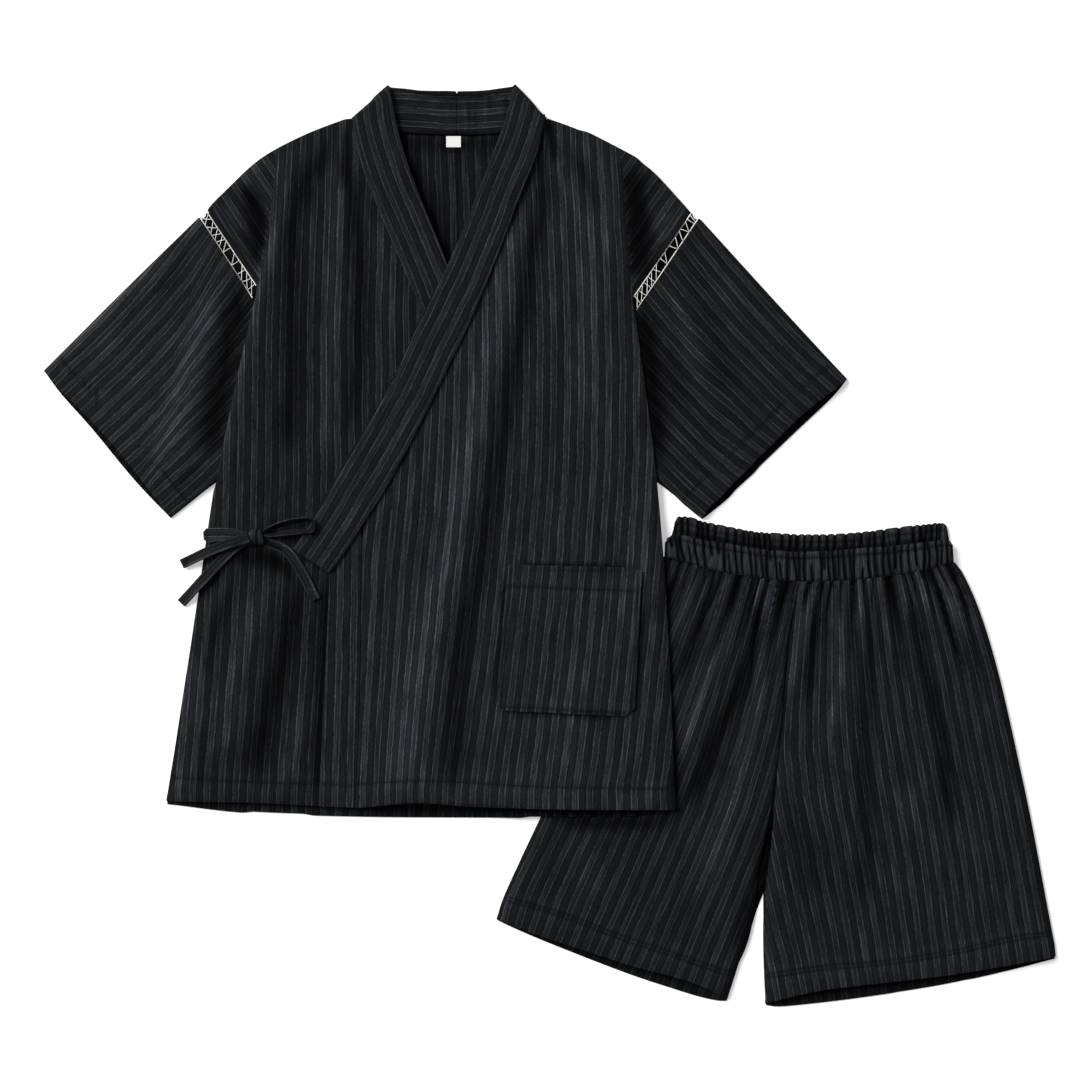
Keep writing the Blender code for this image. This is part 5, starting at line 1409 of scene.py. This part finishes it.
legLooks = dict(
    shortsBackLeft=dict(
        backLegLook, node="shorts_back_left", allowances=((crotch, -5, 5),), eased=(backHemLeft, innerLeft),
        creases=(Crease((190, -60), (150, -150), (110, -260), 12, 0.7),
                 Crease((120, -120), (70, -230), (20, -340), 13, 0.6)),
        tones=(crotchShade, hemShadeLeft), stripes=legStripes(leftLeg),
        cut=dict(flat=(0.323, 0.473), area=0.094, held="gathered")),
    shortsBackRight=dict(
        backLegLook, node="shorts_back_right", eased=(rightFlank, backHemRight, backHemCorner),
        creases=(Crease((300, -60), (310, -170), (320, -300), 12, 0.7),
                 Crease((400, -60), (430, -190), (460, -330), 13, 0.6)),
        tones=(crotchShade, hemShadeRight), stripes=legStripes(rightLeg),
        cut=dict(flat=(0.311, 0.472), area=0.114, held="gathered")),
    shortsFrontLeft=dict(
        frontLegLook, node="shorts_front_left", tone=-0.08, allowances=((bandSeam[:6], -6, 6),),
        eased=(innerLeft,), tones=leftLegTones, creases=leftPleats, stripes=legStripes(leftLeg),
        gathers=legGathers(riseSeam, outerLeft, 15, 21), seams=hemSeams(leftHem),
        cut=dict(flat=(0.36, 0.475), area=0.103, held="gathered", rests_on=["shortsBackLeft"])),
    shortsFrontRight=dict(
        frontLegLook, node="shorts_front_right", allowances=((riseSeam, -5, 5), (bandSeam[5:], -6, 6)),
        eased=(rightFlank,), tones=rightLegTones, creases=rightPleats, stripes=legStripes(rightLeg),
        gathers=legGathers(riseSeam, outerRight, 16, 22), seams=hemSeams(rightHem),
        cut=dict(flat=(0.35, 0.472), area=0.128, held="gathered", rests_on=["shortsBackRight"])),
)
legs = {}
for name, look in legLooks.items():
    legs[name] = finishedPiece(laidPanel, name, look, shortsCotton)
frontLegs = [legs["shortsFrontLeft"], legs["shortsFrontRight"]]


# Waistband: a casing gathered by the elastic in it
Pucker = namedtuple("Pucker", "place lean bend depth width low high")
bandTopFront = (
    (122.5, 3), (125.5, 9.5), (133, 12.5), (144, 11.5), (158, 8), (193, 2.4), (228, -3.2), (264, -5.8),
    (299, -4.2), (334, -1.8), (370, 1.2), (405, 5.3), (421, 7), (428, 3),
)
bandTopBack = (
    (132, 17), (133, 25), (135.5, 30), (140, 32), (151, 30.6), (168, 25.6), (193, 20.4), (211, 16.9),
    (228, 15), (264, 12.8), (299, 12.9), (334, 15.4), (370, 20), (405, 24.2), (416, 25), (422, 21.5),
    (424, 12),
)


def puckersOf(count, seed):
    # uneven folds: most run right across the band, some only down from its top or up from its seam
    luck = np.random.default_rng(seed)
    places = np.cumsum(luck.uniform(0.62, 1.42, count))
    found = []
    for place in (places - 0.3) / places[-1]:
        low, high = -0.2, 1.2
        kind = luck.uniform()
        if kind >= 0.82:
            low = luck.uniform(0.2, 0.6)
        elif kind >= 0.62:
            high = luck.uniform(0.4, 0.8)
        found.append(Pucker(place, luck.uniform(-2.2, 2.2), luck.uniform(-1.2, 1.2), luck.uniform(0.6, 1.0),
                            luck.uniform(1.0, 2.0), low, high))
    return found


def fullness(puckers, t, shares, length):
    # how full the band is along its length, at a share of its height: 1 on a fold, less between two
    total = np.ones(len(shares))
    for pucker in puckers:
        place = pucker.place * length + pucker.lean * (t - 0.5) + pucker.bend * math.sin(math.pi * t)
        ends = smoothstep((t - pucker.low) / 0.2) * smoothstep((pucker.high - t) / 0.2)
        total *= 1 - pucker.depth * ends * bell(shares * length - place, pucker.width)
    return total


def bandRows(look):
    # the band's rows of points, from its seam over its top edge and down its plain inside, with their shade
    shares = np.linspace(0, 1, look["columns"])
    low, high = (placesOn(line, shares * distancesOn(line)[-1])
                 for line in (smoothLine(bandSeam, 1.5), smoothLine(look["top"], 1.5)))
    length = lengthOf(low)
    puckers = puckersOf(look["count"], look["seed"])
    channel = look["channel"]       # where the row of stitches pulls the casing in
    ends = np.clip(np.minimum(shares, 1 - shares) / 0.035, 0, 1)
    rounded = np.sqrt(ends * (2 - ends))
    base = look["under"] - look["drop"] * (1 - rounded)
    scallop = look["scallop"] * (fullness(puckers, 1.0, shares, length) - 1)
    top = high + np.column_stack([0 * scallop, scallop])
    rows, shades = [], []
    for t in (*np.linspace(0, 0.9, 15), 0.94, 0.97, 0.99, 1.0):
        full = fullness(puckers, t, shares, length)
        if t < channel:
            puff = math.sin(math.pi * min(max(t / channel, 0.0), 1.0))
        else:
            puff = 0.85 * math.sin(math.pi * min((t - channel) / (1.02 - channel), 1.0))
        puff = 0.25 + 0.75 * max(puff, 0) ** 0.6
        edge = math.sqrt(max(0.0, 1 - max(0.0, (t - 0.9) / 0.1) ** 2))
        loft = look["core"] + look["wave"] * full * puff * (0.4 + 0.6 * rounded)
        rows.append(np.column_stack([low + (top - low) * t, base + loft * (0.25 + 0.75 * edge)]))
        # painted shade along the casing's stitches and the seam, and between the folds, with painted
        # highlights on the folds and the puffs
        sewn = 0.55 * bell(t - channel, 0.035) + 0.5 * bell(t, 0.05)       # along the casing and the seam
        shades.append(2.2 * (full - 0.87) - sewn + 0.15 * puff)
    # the plain inside, in a little painted shade
    for t in (1.0, 0.5, 0.0):
        rows.append(np.column_stack([low + (top - low) * t, base]))
        shades.append(np.full(len(shares), -0.3))
    return rows, np.concatenate(shades)


def loftedBand(name, look):
    # a closed sleeve of faces over the rows, and its two ends
    rows, columns = look["rows"], look["columns"]
    count = len(rows)
    faces = [(row * columns + at, row * columns + at + 1, (row + 1) % count * columns + at + 1,
              (row + 1) % count * columns + at) for row in range(count) for at in range(columns - 1)]
    faces += [[row * columns + end for row in range(count)] for end in (0, columns - 1)]
    mesh = plainMesh(name, np.concatenate(rows), faces)
    shape = bmesh.new()
    shape.from_mesh(mesh)
    bmesh.ops.recalc_face_normals(shape, faces=shape.faces[:])
    shape.to_mesh(mesh)
    shape.free()
    return linkedObject(name, mesh)


def gatheredBand(name, look):
    # the band with the shade of its folds laid over its own
    rows, painted = bandRows(look)
    made = finishedPiece(loftedBand, name, dict(look, rows=rows), bandCotton)
    layer = made.data.attributes["shade"].data
    tone = np.clip(valuesOf(layer, "value") * np.exp(1.5 * painted), 0.06, 1.9)
    layer.foreach_set("value", tone.astype(np.float32))
    return made


bandFrontLine = (
    (121, 2), (142, 2), (176, -9), (211, -15), (257, -20), (303, -20), (349, -17), (395, -10), (430, -4),
)
bandBackLine = (
    (121, 6), (142, 8), (176, -4), (211, -9), (257, -13), (303, -13), (349, -9), (395, -1), (430, 1),
)
# where the back band lies in painted shadow, just behind the front band's top edge
behindFront = (
    (126, 10), (134, 16), (153, 11), (188, 4), (234, -2), (280, -4.5), (326, -3), (372, 2), (406, 6),
    (426, 8),
)
gatheredBand("waistbandBack", dict(
    node="waistband_back", top=bandTopBack, columns=360, count=46, seed=31, channel=0.84, under=0.04, drop=0,
    core=1.5, wave=2.1, scallop=1.6, tone=0.02, tones=(PaintedShading(behindFront, (4.5, 4.5), -1.3),),
    stripes=bandStripes(bandBackLine, 1.7, across=True), cut=dict(flat=(0.045, 0.4), held="gathered")))
waistbandFront = gatheredBand("waistbandFront", dict(
    node="waistband_front", top=bandTopFront, columns=400, count=48, seed=32, channel=0.77, under=8.0,
    drop=3.4, core=1.9, wave=2.3, scallop=1.7, stripes=bandStripes(bandFrontLine, 1.7, across=True),
    cut=dict(flat=(0.033, 0.4), held="gathered", rests_on=["waistbandBack"]),
))
print("shorts made")


# Lace: two rails of cream thread with crossing threads between them
laceRails = (0.5, 9.9)
laceSunk = 0.75         # a thread's middle lies this far under its solid's top


def threadTube(shape, points, radius, sides=6):
    points = np.asarray(points, float) * mm
    rings = []
    for at, point in enumerate(points):
        run = points[min(at + 1, len(points) - 1)] - points[max(at - 1, 0)]
        run /= np.linalg.norm(run)
        level = np.cross(run, (0, 0, 1))
        level /= np.linalg.norm(level)
        rise = np.cross(level, run)
        turns = [2 * math.pi * side / sides for side in range(sides)]
        rings.append([shape.verts.new(point + radius * mm * (math.cos(turn) * level + math.sin(turn) * rise))
                      for turn in turns])
    loftedRings(shape, rings)


def crossingsOf(kind, along, pitch, luck):
    # the threads of one knotted group between the rails: from along, across to along, across
    a, b = along + luck.uniform(0.0, 0.9), along + pitch * luck.uniform(0.78, 0.92)
    turn = along + pitch * luck.uniform(0.30, 0.38)
    low, high = laceRails
    if kind == "x":         # a crossed pair
        return (a, low, b, high), (a + luck.uniform(-0.4, 0.9), high, b + luck.uniform(-0.8, 0.5), low)
    if kind == "v":         # a pair that meets at the sleeve's rail
        return (a, low, turn, high), (turn + 0.3, high, along + pitch * luck.uniform(0.56, 0.66), low)
    if kind == "w":         # the same, with one more thread after it
        return ((a, low, turn, high), (turn + 0.3, high, along + pitch * 0.54, low),
                (along + pitch * 0.62, low, along + pitch * 0.86, high))
    return (a, low, a + 2.6, high), (a + 5.4, low, a + 4.4, high)       # two steep threads


def laceStrip(name, look):
    # a strip of openwork from two corded rails and one knotted group after another
    outer = np.array(look["line"], float)
    length = np.linalg.norm(outer[1] - outer[0])
    run = (outer[1] - outer[0]) / length
    inward = np.array((-run[1], run[0])) * look["inwards"]
    length = length - look["shorter"]
    points, triangles = topOf(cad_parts[look["node"]].data)
    luck = np.random.default_rng(look["seed"])

    def at(along, across, lift):
        along = np.clip(along, 0.5, length - 0.5)
        place = (outer[0] + (look["first"] + along * (1 + 0.0088 * across))[:, None] * run
                 + (look["edge"] - across)[:, None] * inward)
        return np.column_stack([place, heightsOn(points, triangles, place) - laceSunk + lift])

    shape = bmesh.new()
    for rail in laceRails:      # a cord, and a thinner thread wound round it
        flare = look["flare"] / length if rail == laceRails[1] else 0
        s = np.linspace(0, length, 60)
        threadTube(shape, at(s, rail + flare * s + 0.1 * np.sin(s * 1.7 + rail), 0.15), 0.6)
        s = np.linspace(0, length, 130)
        winding = s * 2.9 + rail
        wound = at(s, rail + flare * s + 0.45 * np.sin(winding), 0.5 + 0.2 * np.cos(winding))
        threadTube(shape, wound, 0.3, 5)
    along = 0.6
    scale = (length - 1.2) / sum(look["pitches"])
    t = np.linspace(0, 1, 9)
    for kind, pitch in zip(look["kinds"], look["pitches"]):
        pitch *= scale
        for fromAlong, fromAcross, toAlong, toAcross in crossingsOf(kind, along, pitch, luck):
            sway = luck.uniform(-0.5, 0.5) * np.sin(math.pi * t)
            path = at(fromAlong + (toAlong - fromAlong) * t + sway, fromAcross + (toAcross - fromAcross) * t,
                      0.35 * np.sin(math.pi * t))
            threadTube(shape, path, luck.uniform(0.29, 0.37))
        along += pitch
    shape.normal_update()
    return linkedObject(name, meshOf(shape, name))


frontLace = dict(first=1, shorter=2, edge=-0.3, flare=1.2)
backLace = dict(first=18, shorter=32, edge=24.2, flare=0)
laceLooks = dict(
    laceLeftFront=dict(
        frontLace, node="lace_left_front", line=laceLeft, inwards=1, seed=4, kinds="xxxxvvxxx",
        pitches=(10, 10, 8, 8, 16, 15, 9, 10, 9), cut=dict(flat=(0.0104, 0.095), held="laid"),
    ),
    laceRightFront=dict(
        frontLace, node="lace_right_front", line=laceRight, inwards=-1, seed=9, kinds="nwvvxxxxx",
        pitches=(9, 20, 19, 16, 10, 8, 9, 9, 8), cut=dict(flat=(0.0104, 0.105), held="laid"),
    ),
    laceLeftBack=dict(
        backLace, node="lace_left_back", line=laceLeft, inwards=1, seed=5, kinds="xvxxv",
        pitches=(10, 16, 9, 9, 16), cut=dict(flat=(0.0104, 0.065), held="laid"),
    ),
    laceRightBack=dict(
        backLace, node="lace_right_back", line=laceRight, inwards=-1, seed=6, kinds="xxvxxv",
        pitches=(10, 9, 17, 9, 9, 17), cut=dict(flat=(0.0104, 0.078), held="laid"),
    ),
)
for name, look in laceLooks.items():
    finishedPiece(laceStrip, name, look, laceThread)
print("lace knotted")

# Label: a blank woven patch
labelLook = dict(
    node="label", ripple=0, crisp=1.0, drawn=lambda points: 1.2 + 0.1 * (428.5 - points[:, 1]),
    cut=dict(flat=(0.013, 0.0155), held="laid", rests_on=["jacketBack"]),
)
label = finishedPiece(softSolid, "neckLabel", labelLook, labelWeave)


# Stitches, by Geometry Nodes: one bead of thread at each step along a row
def stitchTree():
    tree = bpy.data.node_groups.new("StitchRow", "GeometryNodeTree")
    face = tree.interface
    face.new_socket("Rows", in_out="INPUT", socket_type="NodeSocketGeometry")
    for name, kind in (("Pitch", "Float"), ("Length", "Float"), ("Width", "Float"), ("Thread", "Material"),
                       ("Seed", "Int")):
        face.new_socket(name, in_out="INPUT", socket_type="NodeSocket" + kind)
    face.new_socket("Stitches", in_out="OUTPUT", socket_type="NodeSocketGeometry")
    given = tree.nodes.new("NodeGroupInput").outputs
    curve = addNode(tree, "GeometryNodeMeshToCurve", {"Mesh": given["Rows"]})
    points = addNode(tree, "GeometryNodeResampleCurve", {"Curve": curve, "Length": given["Pitch"]},
                     mode="LENGTH")
    tangent = addNode(tree, "GeometryNodeInputTangent", {})
    turned = addNode(tree, "FunctionNodeAlignRotationToVector", {"Vector": tangent}, axis="X")
    bead = addNode(tree, "GeometryNodeMeshUVSphere", {"Segments": 6, "Rings": 4, "Radius": 0.5})
    uneven = addNode(tree, "FunctionNodeRandomValue", {
        "Min": (0.75, 0.8, 0.8), "Max": (1.1, 1.2, 1.2), "Seed": given["Seed"]}, data_type="FLOAT_VECTOR")
    size = addNode(tree, "ShaderNodeCombineXYZ", {0: given["Length"], 1: given["Width"], 2: given["Width"]})
    size = addNode(tree, "ShaderNodeVectorMath", {0: size, 1: uneven}, operation="MULTIPLY")
    sewn = addNode(tree, "GeometryNodeInstanceOnPoints", {
        "Points": points, "Instance": bead, "Rotation": turned, "Scale": size})
    real = addNode(tree, "GeometryNodeRealizeInstances", {0: sewn})
    smooth = addNode(tree, "GeometryNodeSetShadeSmooth", {0: real})
    painted = addNode(tree, "GeometryNodeSetMaterial", {"Geometry": smooth, "Material": given["Thread"]})
    addNode(tree, "NodeGroupOutput", {0: painted})
    return tree


stitchNodes = stitchTree()


def sewRows(name, rows, cloths, thread, pitch=3.0, length=2.1, width=0.5, sunk=0.05, seed=1):
    # rows of stitches drawn on the top faces of the pieces they go through
    meshes = [topOf(cloth.data) for cloth in cloths]
    shift = np.cumsum([0] + [len(points) for points, _ in meshes])
    points = np.vstack([points for points, _ in meshes])
    triangles = [tuple(corner + start for corner in triangle)
                 for (_, faces), start in zip(meshes, shift) for triangle in faces]
    tree = BVHTree.FromPolygons(points.tolist(), triangles)
    laid, edges = [], []
    for row in rows:
        count = len(laid)
        for x, y in resample(row, 1.5):
            hit = tree.ray_cast((x, y, 60), (0, 0, -1))[0]
            if hit:
                laid.append((x, y, hit.z - sunk))
                if len(laid) - 1 > count and abs(laid[-2][2] - hit.z) < 2.5:
                    edges.append((len(laid) - 2, len(laid) - 1))
    sewn = linkedObject(name, plainMesh(name, laid, [], edges))
    nodes = sewn.modifiers.new("StitchRow", "NODES")
    nodes.node_group = stitchNodes
    settings = {"Pitch": pitch * mm, "Length": length * mm, "Width": width * mm, "Thread": thread,
                "Seed": seed}
    for item in stitchNodes.interface.items_tree:
        if item.item_type == "SOCKET" and item.in_out == "INPUT" and item.name in settings:
            nodes[item.identifier] = settings[item.name]
    finished(sewn)
    if not sewn.data.materials:
        sewn.data.materials.append(thread)
    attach(sewn, "root")
    print(name, len(sewn.data.polygons), "faces")


def seamLines(*looks):
    # the lines of all the seams that these pieces' tables hold
    return [seam.line for look in looks for seam in look["seams"]]


sewRows("jacketStitches", seamLines(underLook, overLook, okumiLook), [frontUnder, frontOver, okumiOver],
        blackThread)
sewRows("cuffStitches", seamLines(sleeveLeftLook, sleeveRightLook), [sleeveLeft, sleeveRight], blackThread,
        seed=2)
sewRows(
    "pocketStitches", seamLines(pocketLook), [pocket], blackThread, pitch=2.6, length=1.8,
    seed=3,
)
sewRows(
    "labelStitches", [((x, 423.2), (x, 433.8)) for x in (-108.6, -95.5)], [label], labelWeave,
    pitch=1.9, length=1.5, width=0.35, seed=4,
)
sewRows("shortsStitches", seamLines(legLooks["shortsFrontLeft"], legLooks["shortsFrontRight"]), frontLegs,
        blackThread, length=2.2, width=0.38, seed=5)
sewRows("riseStitches", [sideways(smoothLine(riseSeam, 5), 2.6)], frontLegs, blackThread,
        length=2.0, seed=6)
sewRows("bandStitches", [smoothLine(bandSeam, 4)], [waistbandFront], blackThread, length=1.8,
        seed=7)
sewRows("barTack", [((265, y), (278, y - 0.5)) for y in (-40.5, -42, -43.5)], frontLegs[1:], blackThread,
        pitch=1.6, length=1.5, width=0.6, seed=8)
tieRows = [sideways(smoothLine(tie.run, 3), across) for tie in tieTable.values() for across in (-3.6, 3.6)]
sewRows("tieStitches", tieRows, ties, blackThread, pitch=2.6, length=1.8, width=0.35, seed=9)
print("seams stitched")

# Floor, camera and light
floorMaterial, floorTree = newMaterial("PalePaper")
floorShader = addNode(floorTree, "ShaderNodeBsdfPrincipled", {
    "Base Color": linear("ececec"), "Roughness": 1.0, "Specular IOR Level": 0.0,
    "Emission Color": linear("ffffff"), "Emission Strength": 0.38})
addNode(floorTree, "ShaderNodeOutputMaterial", {0: floorShader})
floorReach, floorLevel = 4000, -0.05
floorCorners = [(x, y, floorLevel) for x, y in ((-floorReach, -floorReach), (floorReach, -floorReach),
                                                (floorReach, floorReach), (-floorReach, floorReach))]
floor = linkedObject("paperFloor", plainMesh("paperFloor", floorCorners, [(0, 1, 2, 3)]))
floor.data.materials.append(floorMaterial)

# straight above the set, which is 1.1448 m of floor across the picture at 3 m
camera = linkedObject("camera", bpy.data.cameras.new("camera"))
camera.location = (-0.01007, 0.00636, 3.01)
camera.data.sensor_width = 36
camera.data.lens = 36 * 3.0 / 1.1448
camera.data.clip_end = 20
bpy.context.scene.camera = camera
bpy.context.scene.view_settings.view_transform = "Standard"

world = bpy.data.worlds.new("paleRoom")
world.use_nodes = True
world.node_tree.nodes.clear()
sky = addNode(world.node_tree, "ShaderNodeBackground", {0: linear("fbfcff"), 1: 0.26})
addNode(world.node_tree, "ShaderNodeOutputWorld", {0: sky})
bpy.context.scene.world = world

# a broad soft light far off: its direction from above and how wide it looks, in degrees
lightLook = dict(azimuth=148, elevation=36, spread=34, strength=4.2)
lamp = bpy.data.lights.new("keyLight", "SUN")
lamp.energy = lightLook["strength"]
lamp.angle = math.radians(lightLook["spread"])
keyLight = linkedObject("keyLight", lamp)
keyLight.rotation_euler = (0, math.radians(90 - lightLook["elevation"]), math.radians(lightLook["azimuth"]))
print("floor, camera and light set")
